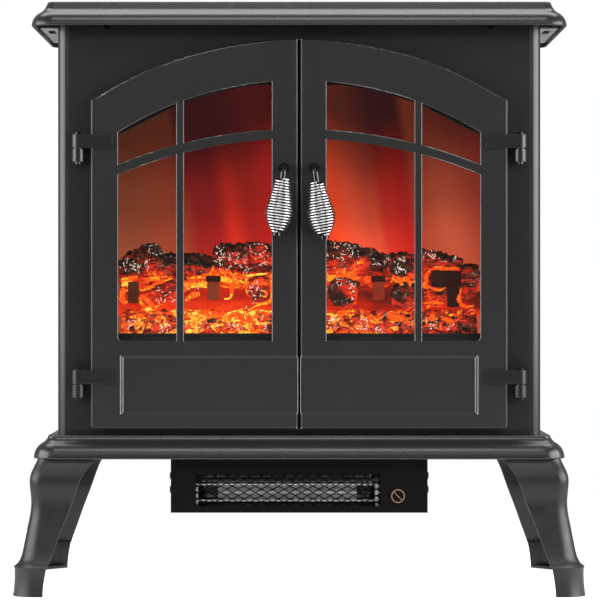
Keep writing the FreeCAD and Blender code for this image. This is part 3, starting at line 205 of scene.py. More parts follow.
def powder_coat(name, shade, rough, grain=900.0, depth=0.12, tint=(1.0, 1.0, 1.0), edge=0.0,
                specular=0.5):
    """Baked powder coat: faint orange peel, slight drift of tone and of sheen, painted edge highlights.
    """
    s = Shader(name)
    drift = s.noise(7.0, 3.0)
    fleck = s.noise(grain * 1.7, 1.0)
    tone = s.mix(drift, scaled(tint, shade * 0.92), scaled(tint, shade * 1.08))
    tone = s.mix(s.span(fleck, 0.45, 0.75, 0.0, 0.22), tone, scaled(tint, shade * 2.1))
    peel = s.noise(grain, 2.0, 0.6)
    sheen = s.span(s.noise(38.0, 3.0), 0.3, 0.7, rough - 0.008, rough + 0.010)
    edge_highlight, under = s.edges(HIGHLIGHT_EDGE_RADIUS)
    # a pale line on edges facing sideways, where side light catches them: a painted highlight
    if edge:
        tone = s.mix(edge_highlight, tone, (edge, edge * 0.94, edge * 0.90))
    return s.set(color=tone, rough=sheen, specular=specular, normal=s.bump(peel, depth, 0.0004, under))


def cast_paint(name, shade, rough):
    """Paint over a sand casting, with a soft uneven skin under the fine grain."""
    s = Shader(name)
    skin = s.math("ADD", s.noise(130.0, 3.0, 0.6), s.math("MULTIPLY", s.noise(700.0, 2.0), 0.35))
    tone = s.mix(s.noise(11.0, 3.0), (shade * 0.82,) * 3, (shade * 1.18,) * 3)
    sheen = s.span(s.noise(60.0, 3.0), 0.3, 0.7, rough - 0.04, rough + 0.06)
    return s.set(color=tone, rough=sheen, normal=s.bump(skin, 0.22, 0.0008))


def zinc_sheet(name):
    """Zinc-coated sheet with its spangle."""
    s = Shader(name)
    grey = s.ramp(s.cell_colors(85.0), [(0.0, (0.50, 0.51, 0.52)), (1.0, (0.74, 0.75, 0.76))])
    return s.set(color=grey, metal=0.75, rough=s.span(s.noise(160.0, 3.0), 0.3, 0.7, 0.30, 0.46))


def worked_metal(name, shade, rough, brush=(30.0, 900.0, 900.0), metal=1.0):
    """Metal with fine marks along one direction."""
    s = Shader(name)
    marks = s.noise(1.0, 3.0, 0.6, s.stretch(brush))
    tone = s.mix(s.noise(25.0, 3.0), scaled(shade, 0.88), scaled(shade, 1.08))
    sheen = s.span(marks, 0.3, 0.7, max(0.03, rough - 0.05), rough + 0.07)
    return s.set(color=tone, metal=metal, rough=sheen, normal=s.bump(marks, 0.06, 0.0002))


def moulded_plastic(name, color, rough, grain=1200.0):
    s = Shader(name)
    tone = s.mix(s.noise(30.0, 2.0), scaled(color, 0.85), scaled(color, 1.2))
    return s.set(color=tone, rough=s.span(s.noise(120.0, 2.0), 0.3, 0.7, rough - 0.05, rough + 0.05),
                 normal=s.bump(s.noise(grain, 2.0), 0.15, 0.0002))


def circuit_board(name):
    """Green board with pale tracks."""
    s = Shader(name)
    tracks = s.seams(120.0, s.stretch((1.0, 1.0, 2.2)))
    line = s.ramp(tracks, [(0.0, 1.0), (0.05, 1.0), (0.08, 0.0)])
    tone = s.mix(line, (0.012, 0.085, 0.03), (0.05, 0.22, 0.09))
    return s.set(color=tone, rough=0.35)


def clear_pane(name):
    """Clean tempered glass, with a trace of haze."""
    s = Shader(name)
    haze = s.span(s.noise(14.0, 4.0, 0.6), 0.4, 0.8, 0.002, 0.006)
    return s.set(color=(0.30, 0.32, 0.32), alpha=haze, rough=0.05, specular=0.02)


# flame colors across the screen, from its left to its right: low down, and near its top
HEARTH_GLOW = [
    (0.000, (0.200, 0.045, 0.021)),
    (0.150, (0.250, 0.040, 0.018)),
    (0.205, (0.260, 0.013, 0.011)),
    (0.255, (0.290, 0.012, 0.011)),
    (0.300, (0.480, 0.020, 0.010)),
    (0.350, (0.320, 0.014, 0.010)),
    (0.420, (0.400, 0.012, 0.009)),
    (0.520, (0.450, 0.014, 0.010)),
    (0.590, (0.820, 0.060, 0.018)),
    (0.640, (0.720, 0.075, 0.030)),
    (0.700, (0.560, 0.060, 0.026)),
    (0.735, (0.480, 0.024, 0.012)),
    (0.790, (0.420, 0.014, 0.010)),
    (0.835, (0.320, 0.045, 0.022)),
    (0.900, (0.370, 0.060, 0.028)),
    (1.000, (0.260, 0.035, 0.018)),
]
CROWN_GLOW = [
    (0.000, (0.100, 0.026, 0.013)),
    (0.180, (0.130, 0.028, 0.015)),
    (0.210, (0.060, 0.010, 0.010)),
    (0.300, (0.055, 0.009, 0.010)),
    (0.420, (0.100, 0.011, 0.010)),
    (0.520, (0.080, 0.011, 0.010)),
    (0.590, (0.160, 0.027, 0.013)),
    (0.660, (0.110, 0.020, 0.012)),
    (0.750, (0.050, 0.009, 0.009)),
    (0.800, (0.045, 0.008, 0.009)),
    (0.835, (0.190, 0.033, 0.014)),
    (0.900, (0.120, 0.020, 0.012)),
    (1.000, (0.060, 0.008, 0.010)),
]
SCREEN_HALF = 0.19


def flame_light(name, low_z, high_z):
    """Soft flames thrown on the screen: tall blurred tongues that darken upwards."""
    s = Shader(name)
    x, _, z = s.split(s.place)
    sway = s.swing(s.noise(7.0, 1.5), 0.022)
    lean = s.math("MULTIPLY", s.math("SUBTRACT", z, 0.40), -0.20)
    across = s.span(s.math("ADD", s.math("SUBTRACT", x, lean), sway), -SCREEN_HALF, SCREEN_HALF)
    hearth = s.ramp(across, HEARTH_GLOW, smooth=True)
    crown = s.ramp(across, CROWN_GLOW, smooth=True)
    wave = s.swing(s.noise(9.0, 2.0, 0.5, s.stretch((1.0, 1.0, 0.35))), 0.12)
    height = s.span(s.math("ADD", z, wave), low_z, high_z)
    fade = s.ramp(height, [(0.0, 0.0), (0.38, 0.02), (0.62, 0.34), (0.86, 1.0)], smooth=True)
    lift = s.ramp(height, [(0.30, 1.5), (0.55, 1.0), (0.74, 0.62)], smooth=True)
    glow = s.mix(1.0, s.mix(fade, hearth, crown), lift, "MULTIPLY")
    return s.set(color=(0.002, 0.001, 0.001), glow=glow, glow_strength=1.0, rough=0.9, specular=0.0)


# glow by heat, from cold char to yellow
FIRE = [
    (0.00, (0.003, 0.002, 0.002)),
    (0.20, (0.010, 0.004, 0.003)),
    (0.34, (0.045, 0.014, 0.006)),
    (0.44, (0.170, 0.014, 0.008)),
    (0.54, (0.560, 0.020, 0.008)),
    (0.66, (0.950, 0.050, 0.010)),
    (0.77, (1.000, 0.170, 0.014)),
    (0.88, (1.000, 0.480, 0.022)),
    (1.00, (1.000, 0.880, 0.110)),
]


def fire_colors(s, heat):
    return s.ramp(heat, FIRE)


def charred_bark(name, base_heat, speck=1.0, low=0.262, high=0.352, reach=0.44):
    """Moulded bark that glows through from below, black on top with painted highlights as pale lines.
    """
    s = Shader(name)
    x, _, z = s.split(s.place)
    upward = s.facing()[2]
    patch = s.noise(30.0, 2.0, 0.55, s.stretch((0.5, 1.0, 1.5)), twist=1.2)
    grain = s.noise(380.0, 3.0, 0.75, s.stretch((0.30, 0.8, 1.0)))
    furrow = s.ridge(s.noise(170.0, 2.0, 0.6, s.stretch((0.30, 0.8, 1.2))))
    heat = s.math("ADD", base_heat, s.span(z, low, high, reach * 0.5, -reach * 0.5))
    heat = s.math("ADD", heat, s.swing(patch, 1.15))
    heat = s.math("ADD", heat, s.swing(grain, 0.62))
    heat = s.math("SUBTRACT", heat, s.span(furrow, 0.0, 0.035, 0.30, 0.0))
    heat = s.math("SUBTRACT", heat, s.span(x, 0.105, 0.150, 0.0, 0.11))
    heat = s.math("SUBTRACT", heat, s.math("MULTIPLY", upward, 0.17), clamp=True)
    glow = fire_colors(s, heat)
    # pale glowing squiggles on the cold bark: painted highlights
    thread = s.span(s.ridge(s.noise(420.0, 2.0, 0.6)), 0.008, 0.030, 1.0, 0.0)
    broken = s.span(s.noise(260.0, 1.0, 0.5, s.stretch((1.0, 0.7, 1.3))), 0.52, 0.56)
    zones = s.span(s.noise(70.0, 2.0, 0.6), 0.52, 0.58)
    cold = s.span(heat, 0.60, 0.44)
    glint = s.math("MULTIPLY", s.math("MULTIPLY", thread, broken), s.math("MULTIPLY", zones, cold))
    glint = s.math("MULTIPLY", glint, speck, clamp=True)
    color = s.mix(glint, (0.006, 0.004, 0.003), (0.70, 0.60, 0.50))
    lit = s.mix(glint, glow, (0.90, 0.72, 0.58))
    rough_bark = s.noise(150.0, 4.0, 0.7, s.stretch((0.3, 1.0, 1.0)))
    bark = s.math("ADD", rough_bark, s.math("MULTIPLY", grain, 0.5))
    return s.set(color=color, glow=lit, glow_strength=1.0, rough=0.55, specular=0.1,
                 normal=s.bump(bark, 0.8, 0.002))


def glowing_resin(name, base_heat, spread, lean):
    """Smooth translucent resin lit from behind, more strongly on its left."""
    s = Shader(name)
    x, upward = s.split(s.place)[0], s.facing()[2]
    patch = s.noise(22.0, 2.5, 0.5, s.stretch((0.55, 1.0, 1.0)), twist=0.4)
    heat = s.math("ADD", base_heat, s.swing(patch, spread))
    heat = s.math("ADD", heat, s.swing(s.noise(60.0, 3.0, 0.6, s.stretch((0.25, 1.0, 1.6))), 0.30))
    heat = s.math("SUBTRACT", heat, s.span(x, -0.10, 0.17, 0.0, lean))
    heat = s.math("SUBTRACT", heat, s.math("MULTIPLY", upward, 0.07), clamp=True)
    return s.set(color=(0.010, 0.002, 0.001), glow=fire_colors(s, heat), glow_strength=1.0, rough=0.6,
                 specular=0.03)


def ember_resin(name):
    """Broken glowing bed: every lump has its own heat and a dark seam round it."""
    s = Shader(name)
    warp = s.node("ShaderNodeVectorMath", operation="ADD")
    s.link(s.place, warp.inputs[0])
    drift = s.node("ShaderNodeTexNoise")
    s.link(s.place, drift.inputs["Vector"])
    drift.inputs["Scale"].default_value = 120.0
    shift = s.node("ShaderNodeVectorMath", operation="SCALE")
    s.link(drift.outputs["Color"], shift.inputs[0])
    shift.inputs["Scale"].default_value = 0.016
    s.link(shift.outputs[0], warp.inputs[1])
    own = s.split(s.cell_colors(190.0, warp.outputs[0]))[0]
    seam = s.seams(190.0, warp.outputs[0])
    heat = s.math("ADD", 0.56, s.math("MULTIPLY", own, 0.42))
    heat = s.math("ADD", heat, s.swing(s.noise(26.0, 2.0), 0.9))
    heat = s.math("ADD", heat, s.swing(s.noise(420.0, 2.0), 0.35))
    far = s.math("ABSOLUTE", s.math("ADD", s.split(s.place)[0], 0.06))
    heat = s.math("SUBTRACT", heat, s.span(far, 0.05, 0.22, 0.0, 0.20))
    heat = s.math("SUBTRACT", heat, s.span(seam, 0.0, 0.09, 0.42, 0.0), clamp=True)
    return s.set(color=(0.04, 0.010, 0.006), glow=fire_colors(s, heat), glow_strength=1.0, rough=0.5,
                 specular=0.3, normal=s.bump(seam, 0.6, 0.002))


def dull_resin(name, color):
    """Resin post that little light gets through."""
    s = Shader(name)
    tone = s.mix(s.noise(90.0, 3.0), scaled(color, 0.7), scaled(color, 1.25))
    return s.set(color=(0.010, 0.005, 0.003), glow=tone, glow_strength=1.0, rough=0.6, specular=0.05)


def lit_lamp(name):
    s = Shader(name)
    tone = s.mix(s.noise(300.0), (1.0, 0.50, 0.12), (1.0, 0.72, 0.30))
    return s.set(color=(0.8, 0.6, 0.3), glow=tone, glow_strength=3.0, rough=0.3)


PAINT = {
    "case": powder_coat("case_paint", 0.012, 0.29),
    "fascia": powder_coat("fascia_paint", 0.006, 0.50, specular=0.36),
    "moulding": powder_coat("moulding_paint", 0.016, 0.27),
    # the door paint carries a painted highlight along its side-facing edges
    "door": powder_coat("door_paint", 0.0085, 0.44, grain=760.0, depth=0.18, edge=0.60,
                        tint=(0.985, 1.01, 1.005)),
    "leg": cast_paint("leg_paint", 0.007, 0.40),
    # black paint, made darker than the case paint as painted shade under the base
    "heater": powder_coat("heater_paint", 0.003, 0.60, specular=0.06),
    "firebox": powder_coat("firebox_paint", 0.003, 0.90, specular=0.05),
    "zinc": zinc_sheet("zinc"),
    "pane": clear_pane("pane"),
    "black_steel": worked_metal("black_steel", (0.006, 0.006, 0.006), 0.12, metal=0.0),
    "chrome": worked_metal("bright_spring", (0.84, 0.84, 0.85), 0.22, brush=(200.0, 200.0, 200.0)),
    "fins": worked_metal("fin_aluminium", (0.90, 0.91, 0.92), 0.50, brush=(900.0, 900.0, 40.0),
                         metal=0.25),
    "plain_steel": worked_metal("plain_steel", (0.50, 0.50, 0.51), 0.30),
    "motor_steel": worked_metal("motor_steel", (0.40, 0.40, 0.41), 0.38, brush=(900.0, 30.0, 900.0)),
    "aluminium": worked_metal("aluminium", (0.80, 0.81, 0.82), 0.34),
    "foil": worked_metal("mirror_foil", (0.88, 0.88, 0.88), 0.10),
    "plastic": moulded_plastic("black_plastic", (0.018, 0.018, 0.019), 0.42),
    "red": moulded_plastic("red_plastic", (0.42, 0.015, 0.012), 0.28),
    "circuit": circuit_board("circuit"),
    "lamp": lit_lamp("lamp"),
}

MATERIAL_OF = {
    "case": ["left_side_panel", "right_side_panel", "back_panel", "control_panel", "hinge_brackets",
             "left_hinge_straps", "right_hinge_straps"],
    "fascia": ["front_fascia"],
    "moulding": ["top_panel", "base_panel"],
    "door": ["left_door_frame", "right_door_frame"],
    "leg": ["leg_front_left", "leg_front_right", "leg_rear_left", "leg_rear_right"],
    "heater": ["heater_housing", "heater_grille"],
    "firebox": ["firebox_floor", "firebox_walls", "firebox_ceiling"],
    "zinc": ["overhang_plates", "floor_plate", "blower_scroll"],
    "pane": ["left_door_glass", "right_door_glass"],
    "black_steel": ["case_screws", "hinge_pins", "left_handle_rod", "right_handle_rod"],
    "plain_steel": ["left_glass_clips", "right_glass_clips", "left_handle_nut", "right_handle_nut",
                    "leg_bolts"],
    "motor_steel": ["flame_motor", "blower_motor"],
    "aluminium": ["thermal_cutout", "blower_rotor"],
    "fins": ["heating_element"],
    "foil": ["flame_spindle"],
    "plastic": ["door_magnets", "cord_gland", "shaft_bearings", "control_bodies", "switch_housings",
                "thermostat_knob", "flame_knob", "low_heat_rocker", "high_heat_rocker"],
    "red": ["power_rocker"],
    "circuit": ["led_board", "control_board"],
    "lamp": ["led_lamps"],
}


def paint(obj, mat):
    obj.data.materials.clear()
    obj.data.materials.append(mat)


for kind, names in MATERIAL_OF.items():
    for name in names:
        paint(NODES[name], PAINT[kind])

screen_low, screen_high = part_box("flame_screen")
paint(NODES["flame_screen"], flame_light("flame_light", screen_low.z, screen_high.z))


# ------------------------------------------------------------------ mesh helpers
def mesh_object(name, verts, faces, mat, body, slot, smooth=True):
    mesh = bpy.data.meshes.new(name)
    mesh.from_pydata([tuple(v) for v in verts], [], faces)
    mesh.update()
    if smooth:
        mesh.polygons.foreach_set("use_smooth", [True] * len(mesh.polygons))
    obj = bpy.data.objects.new(name, mesh)
    bpy.context.scene.collection.objects.link(obj)
    obj.data.materials.append(mat)
    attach(obj, body)
    return obj


def frames_along(path):
    """Unit tangent and two steady cross directions at each point of a path."""
    tangents = []
    for i in range(len(path)):
        before, after = path[max(0, i - 1)], path[min(len(path) - 1, i + 1)]
        tangents.append((after - before).normalized())
    side = tangents[0].orthogonal().normalized()
    made = []
    for tangent in tangents:
        side = (side - tangent * side.dot(tangent)).normalized()
        made.append((tangent, side, tangent.cross(side)))
    return made


def sleeve_faces(rings, sides):
    """Faces round a stack of rings, with both ends closed."""
    faces = []
    for i in range(rings - 1):
        for k in range(sides):
            a, b = i * sides + k, i * sides + (k + 1) % sides
            faces.append((a, b, b + sides, a + sides))
    last = (rings - 1) * sides
    return faces + [tuple(reversed(range(sides))), tuple(last + k for k in range(sides))]


def ring_points(center, u, v, radius, sides):
    turns = (math.tau * k / sides for k in range(sides))
    return [center + (u * math.cos(a) + v * math.sin(a)) * radius for a in turns]


def tube_mesh(path, radius, sides):
    """Closed tube along a path with flat ends."""
    verts = []
    for point, (_, u, v) in zip(path, frames_along(path)):
        verts += ring_points(point, u, v, radius, sides)
    return verts, sleeve_faces(len(path), sides)


def join(parts):
    """One mesh from several."""
    verts, faces = [], []
    for more, more_faces in parts:
        start = len(verts)
        verts += more
        faces += [tuple(k + start for k in face) for face in more_faces]
    return verts, faces


# ------------------------------------------------------------------ spring handles
COIL_TURNS = 19
COIL_LENGTH = 0.054
COIL_WIRE = 0.00082          # radius of the wire
COIL_WIDEN = 1.10            # width across, for a depth of one
COIL_RADII = (0.0072, 0.0134, 0.0052)    # at the top, at the belly and at the end
COIL_BELLY = 0.62            # share of the length where it is widest
CORE_IN = 0.0019             # how far the dark core lies inside the coil's outline
STEPS_PER_TURN, WIRE_SIDES = 44, 10
CORE_RINGS, CORE_SIDES = 49, 40
SPINDLE_X, SPINDLE_Z = 0.0152, 0.4240
HANDLES = {"left": (-1, 6.0, 0.0110), "right": (1, 8.0, 0.0145)}   # side, tilt in degrees, drop


def coil_radius(share):
    top, belly, end = COIL_RADII
    if share < COIL_BELLY:
        rise = share / COIL_BELLY
        return top + (belly - top) * (0.62 * rise + 0.38 * math.sin(rise * math.pi / 2) ** 2)
    fall = (share - COIL_BELLY) / (1 - COIL_BELLY)
    return end + (belly - end) * math.cos(fall * math.pi / 2) ** 0.75


def coil_axis(side):
    """Top of a handle's coil, and its directions along, outwards and across."""
    sign, tilt, drop = HANDLES[side]
    low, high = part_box(f"{side}_handle_coil")
    tilt = math.radians(tilt)
    down = Vector((sign * math.sin(tilt), 0, -math.cos(tilt)))
    out = Vector((0, -1, 0))
    top = Vector((sign * SPINDLE_X, (low.y + high.y) / 2, SPINDLE_Z)) + down * drop
    return top, down, out, down.cross(out) * COIL_WIDEN


def spring_coil(side):
    """Wound coil, turned the other way on the other door."""
    top, down, out, across = coil_axis(side)
    steps = COIL_TURNS * STEPS_PER_TURN
    path = []
    for i in range(steps + 1):
        share = i / steps
        angle = HANDLES[side][0] * math.tau * COIL_TURNS * share
        r = coil_radius(share) - COIL_WIRE
        along = COIL_WIRE + (COIL_LENGTH - 2 * COIL_WIRE) * share
        path.append(top + down * along + (out * math.cos(angle) + across * math.sin(angle)) * r)
    verts, faces = tube_mesh(path, COIL_WIRE, WIRE_SIDES)
    coil = mesh_object(f"{side}_spring", verts, faces, PAINT["chrome"], f"{side}_door", "bright_spring")
    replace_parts(coil, f"{side}_handle_coil")


def spring_core(side):
    """Dark body inside the coil, which stands for its unlit inside."""
    top, down, out, across = coil_axis(side)
    verts = []
    for i in range(CORE_RINGS):
        share = i / (CORE_RINGS - 1)
        center = top + down * (COIL_WIRE + (COIL_LENGTH - 2 * COIL_WIRE) * share)
        verts += ring_points(center, out, across, coil_radius(share) - CORE_IN, CORE_SIDES)
    core = mesh_object(f"{side}_spring_core", verts, sleeve_faces(CORE_RINGS, CORE_SIDES),
                       PAINT["firebox"], f"{side}_door", "bright_spring")
    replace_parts(core, f"{side}_handle_coil")


for side in HANDLES:
    spring_coil(side)
    spring_core(side)


# ------------------------------------------------------------------ fire bed
bed_low, bed_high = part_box("ember_bed")
HEARTH_Z = bed_low.z

CHAR = charred_bark("charred_bark", 0.575, speck=0.3)
RUST = charred_bark("red_bark", 0.62, speck=0.3)
DIM = charred_bark("dim_bark", 0.47, speck=0.3)
HOT = charred_bark("hot_bark", 0.66, speck=0.3)
COAL = charred_bark("coal", 0.40, speck=0.8, low=HEARTH_Z + 0.002, high=HEARTH_Z + 0.026, reach=0.3)
SHELF = glowing_resin("red_resin", 0.60, 0.42, lean=0.17)
BED = ember_resin("ember_resin")
POST = dull_resin("post_resin", (0.23, 0.040, 0.014))
POST_RED = dull_resin("red_post", (0.27, 0.030, 0.014))
POST_DIM = dull_resin("dim_post", (0.085, 0.020, 0.010))
POST_DARK = dull_resin("charred_post", (0.022, 0.006, 0.005))


def smooth_path(points, count):
    """Points along a Catmull-Rom curve through a few places."""
    pts = [Vector(p) for p in points]
    pts = [pts[0] * 2 - pts[1]] + pts + [pts[-1] * 2 - pts[-2]]
    made = []
    spans = len(pts) - 3
    for i in range(count + 1):
        t = i / count * spans
        k = min(int(t), spans - 1)
        u = t - k
        a, b, c, d = pts[k:k + 4]
        made.append(0.5 * (2 * b + (c - a) * u + (2 * a - 5 * b + 4 * c - d) * u ** 2
                           + (3 * b - a - 3 * c + d) * u ** 3))
    return made


LOG_STEP = 0.0011            # between a log's rings
# rings on a log's end, from its middle: (share of the radius, share of the bark's depth)
LOG_CAPS = [(0.10, 0.9), (0.35, 0.8), (0.6, 0.7), (0.8, 0.9), (0.94, 1.0)]


def log_mesh(points, radii, seed, rough, sides=64):
    """Bark-covered log along a curve, with broken, slightly hollow ends."""
    length = sum((b - a).length for a, b in zip(points, points[1:]))
    count = max(14, int(length / LOG_STEP))
    path = smooth_path(points, count)
    frames = frames_along(path)
    shift = Vector((seed * 3.1, seed * 1.7, seed * 5.3))
    verts = []

    def ring(center, u, v, radius, along, depth):
        for k in range(sides):
            a = math.tau * k / sides
            way = u * math.cos(a) + v * math.sin(a)
            grain = Vector((math.cos(a) * radius * 150, math.sin(a) * radius * 150, along * 26)) + shift
            ridge = abs(noise.noise(grain)) * 1.5 + 0.5 * abs(noise.noise(grain * 2.3))
            lump = noise.noise(Vector((math.cos(a), math.sin(a), along * 22)) + shift)
            bite = rough * (0.13 * lump + 0.20 * (ridge - 0.45))
            verts.append(center + way * radius * (1 + bite * depth))

    def radius_at(share):
        k = min(int(share * (len(radii) - 1)), len(radii) - 2)
        u = share * (len(radii) - 1) - k
        return radii[k] * (1 - u) + radii[k + 1] * u

    def cap_ring(end, frame_at, inward, radius, scale, along, depth, salt):
        tangent, u, v = frame_at
        sink = 0.30 * (1 - scale) + 0.10 * noise.noise(Vector((scale * 9, seed, salt)))
        ring(end + tangent * inward * radius * sink, u, v, radius * scale, along, depth)

    for scale, depth in LOG_CAPS:
        cap_ring(path[0], frames[0], 1, radius_at(0), scale, 0.0, depth, 1.0)
    for i, (center, (_, u, v)) in enumerate(zip(path, frames)):
        ring(center, u, v, radius_at(i / count), i / count * length * 10, 1.0)
    for scale, depth in reversed(LOG_CAPS):
        cap_ring(path[-1], frames[-1], -1, radius_at(1), scale, length * 10, depth, 4.0)
    return verts, sleeve_faces(len(verts) // sides, sides)


# name: (points in millimetres with the hearth at 256, radii in millimetres, roughness, material)
LOGS = {
    "back_log": ([(-184, -18, 304), (-60, -14, 310), (60, -14, 310), (184, -18, 304)],
                 [20, 21, 21, 19], 0.8, RUST),
    "left_top_log": ([(-183, -26, 316), (-166, -38, 329), (-146, -58, 341)], [13, 13, 9], 1.0, CHAR),
    "left_under_log": ([(-184, -44, 318), (-150, -40, 324), (-116, -38, 322)], [13, 15, 14], 1.0, RUST),
    "left_fork": ([(-158, -76, 286), (-140, -70, 296), (-116, -58, 309)], [8, 10, 9], 1.2, CHAR),
    "left_mid_log": ([(-130, -34, 320), (-104, -40, 321), (-82, -44, 314)], [17, 17, 15], 1.0, RUST),
    "left_big_log": ([(-85, -36, 328), (-56, -42, 329), (-24, -46, 328)], [19, 20, 19], 1.0, CHAR),
    "left_stub": ([(-43, -40, 338), (-42, -69, 342)], [9, 9], 0.9, CHAR),
    "left_knot": ([(-41, -34, 303), (-38, -79, 300)], [15, 13], 1.0, HOT),
    "right_big_log": ([(14, -40, 328), (40, -44, 330), (64, -44, 327), (92, -38, 317)],
                      [19, 20, 18, 16], 1.0, RUST),
    "right_round": ([(47, -34, 301), (44, -79, 297)], [16, 14], 1.1, DIM),
    "right_mid_log": ([(86, -38, 322), (104, -42, 324), (124, -40, 322)], [14, 15, 14], 1.0, RUST),
    "right_stub": ([(104, -42, 325), (103, -70, 324)], [11, 10], 1.0, CHAR),
    "right_knot": ([(108, -36, 297), (105, -77, 293)], [14, 12], 1.0, DIM),
    "right_top_log": ([(120, -34, 330), (142, -40, 327), (165, -44, 322)], [14, 13, 11], 1.1, CHAR),
    "right_end": ([(174, -34, 317), (172, -68, 315)], [11, 9], 1.0, DIM),
    "right_fork": ([(128, -64, 292), (150, -66, 296), (176, -58, 302)], [9, 10, 10], 1.1, DIM),
    "shelf": ([(-184, -52, 287), (-90, -56, 290), (0, -54, 288), (90, -56, 290), (184, -52, 287)],
              [12, 13, 12, 13, 12], 0.35, SHELF),
}


def hearth_point(place):
    x, y, z = place
    return Vector((x / 1000, y / 1000, HEARTH_Z + (z - 256) / 1000))


def build_logs():
    made = []
    for seed, (name, (points, radii, rough, mat)) in enumerate(LOGS.items()):
        places = [hearth_point(p) for p in points]
        verts, faces = log_mesh(places, [r / 1000 for r in radii], seed + 1, rough)
        log = mesh_object(name, verts, faces, mat, "stove", "log_resin")
        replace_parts(log, "log_set")
        made.append((verts, faces))
    return made


def block_mesh(low, high, seed, wobble=0.0006):
    """Slightly uneven block with softened edges."""
    cuts = 5
    verts, faces, index = [], [], {}
    center, half = (low + high) / 2, (high - low) / 2

    def vertex(p):
        key = tuple(round(c, 5) for c in p)
        if key not in index:
            q = Vector(p)
            soft = q.normalized() * max(abs(c) for c in p) * 1.35
            q = q.lerp(soft, 0.18)
            spot = center + Vector((q.x * half.x, q.y * half.y, q.z * half.z))
            index[key] = len(verts)
            verts.append(spot + noise.noise_vector(spot * 260 + Vector((seed, 0, 0))) * wobble)
        return index[key]

    for axis in range(3):
        for sign in (-1, 1):
            for i in range(cuts):
                for j in range(cuts):
                    quad = []
                    for di, dj in ((0, 0), (1, 0), (1, 1), (0, 1)):
                        p = [0, 0, 0]
                        p[axis] = sign
                        p[(axis + 1) % 3] = (i + di) / cuts * 2 - 1
                        p[(axis + 2) % 3] = (j + dj) / cuts * 2 - 1
                        quad.append(vertex(p))
                    faces.append(tuple(quad if sign > 0 else reversed(quad)))
    return verts, faces


# name: (lowest corner, highest corner, material), measured as the logs are
POSTS = {
    "post_a": ((-173, -72, 288), (-162.5, -58, 309), POST_DIM),
    "post_b": ((-93, -74, 291), (-81, -60, 309), POST),
    "post_b_top": ((-94, -72, 309), (-80, -58, 315), POST_DARK),
    "post_c": ((74.5, -74, 291), (86, -60, 309), POST_RED),
    "post_c_top": ((73.5, -72, 309), (87, -58, 315), POST_DARK),
    "post_d": ((149.5, -84, 284), (161, -70, 305), POST_DARK),
    "post_d_top": ((133.5, -82, 304), (163, -67, 320), POST_DARK),
}


def build_posts():
    made = []
    for seed, (name, (low, high, mat)) in enumerate(POSTS.items()):
        verts, faces = block_mesh(hearth_point(low), hearth_point(high), seed)
        post = mesh_object(name, verts, faces, mat, "stove", "log_resin")
        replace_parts(post, "log_set")
        made.append((verts, faces))
    return made


def build_bed():
    """Lumpy glowing bed that rises from its front edge to the back."""
    nx, ny = 240, 60
    lumps = ((1.0, 0.0042), (2.7, 0.0022), (7.0, 0.0010))    # finer and lower each time
    verts, faces = [], []
    for j in range(ny + 1):
        for i in range(nx + 1):
            u, v = i / nx, j / ny
            x = bed_low.x + (bed_high.x - bed_low.x) * u
            y = bed_low.y + (bed_high.y - bed_low.y) * v
            rise = 0.009 + 0.015 * min(1.0, v * 3.2) + 0.005 * v
            spot = Vector((x * 62, y * 62, 3.0))
            lump = sum(size * noise.noise(spot * fine) for fine, size in lumps)
            verts.append(Vector((x, y, HEARTH_Z + rise + lump)))
    row = nx + 1
    for j in range(ny):
        for i in range(nx):
            a = j * row + i
            faces.append((a, a + 1, a + row + 1, a + row))
    rim = list(range(row))
    rim += [j * row + nx for j in range(1, ny + 1)]
    rim += [ny * row + i for i in range(nx - 1, -1, -1)]
    rim += [j * row for j in range(ny - 1, 0, -1)]
    foot = len(verts)
    for k in rim:
        verts.append(Vector((verts[k].x, verts[k].y, HEARTH_Z + 0.0004)))
    for k in range(len(rim)):
        a, b = rim[k], rim[(k + 1) % len(rim)]
        faces.append((a, foot + k, foot + (k + 1) % len(rim), b))
    faces.append(tuple(reversed(range(foot, foot + len(rim)))))
    bed = mesh_object("glowing_bed", verts, faces, BED, "stove", "embers")
    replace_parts(bed, "ember_bed")
    return [(verts, faces)]


def coal_mesh(center, size, rng):
    """Faceted lump of charcoal."""
    verts, faces = [], []
    angle = rng.uniform(0, math.tau)
    axis = Vector((rng.random(), rng.random(), rng.random())).normalized()
    turn = Matrix.Rotation(angle, 3, axis)
    shape = Vector((rng.uniform(0.8, 1.35), rng.uniform(0.6, 0.9), rng.uniform(0.55, 0.95)))
    shift = Vector((rng.uniform(0, 90), 0, 0))
    rows, columns = 9, 12
    for i in range(rows + 1):
        theta = math.pi * i / rows
        for k in range(columns):
            phi = math.tau * k / columns
            level = math.sin(theta)
            way = Vector((level * math.cos(phi), level * math.sin(phi), math.cos(theta)))
            crag = 1 + 0.34 * noise.noise(way * 1.5 + shift) + 0.16 * noise.noise(way * 4.1 + shift)
            flat = turn @ Vector((way.x * shape.x, way.y * shape.y, way.z * shape.z))
            verts.append(center + flat * size * crag)
    for i in range(rows):
        for k in range(columns):
            a, b = i * columns + k, i * columns + (k + 1) % columns
            faces.append((a, a + columns, b + columns, b))
    return verts, faces


# rows of coals: (place behind the bed's front edge, height over the hearth, coals, size)
COAL_ROWS = [(0.004, 0.0045, 70, 0.0046), (0.009, 0.0095, 46, 0.0046), (0.017, 0.0150, 30, 0.0044),
             (0.028, 0.0200, 22, 0.0042)]
COAL_MARGIN = 0.006          # left free at both ends of a row


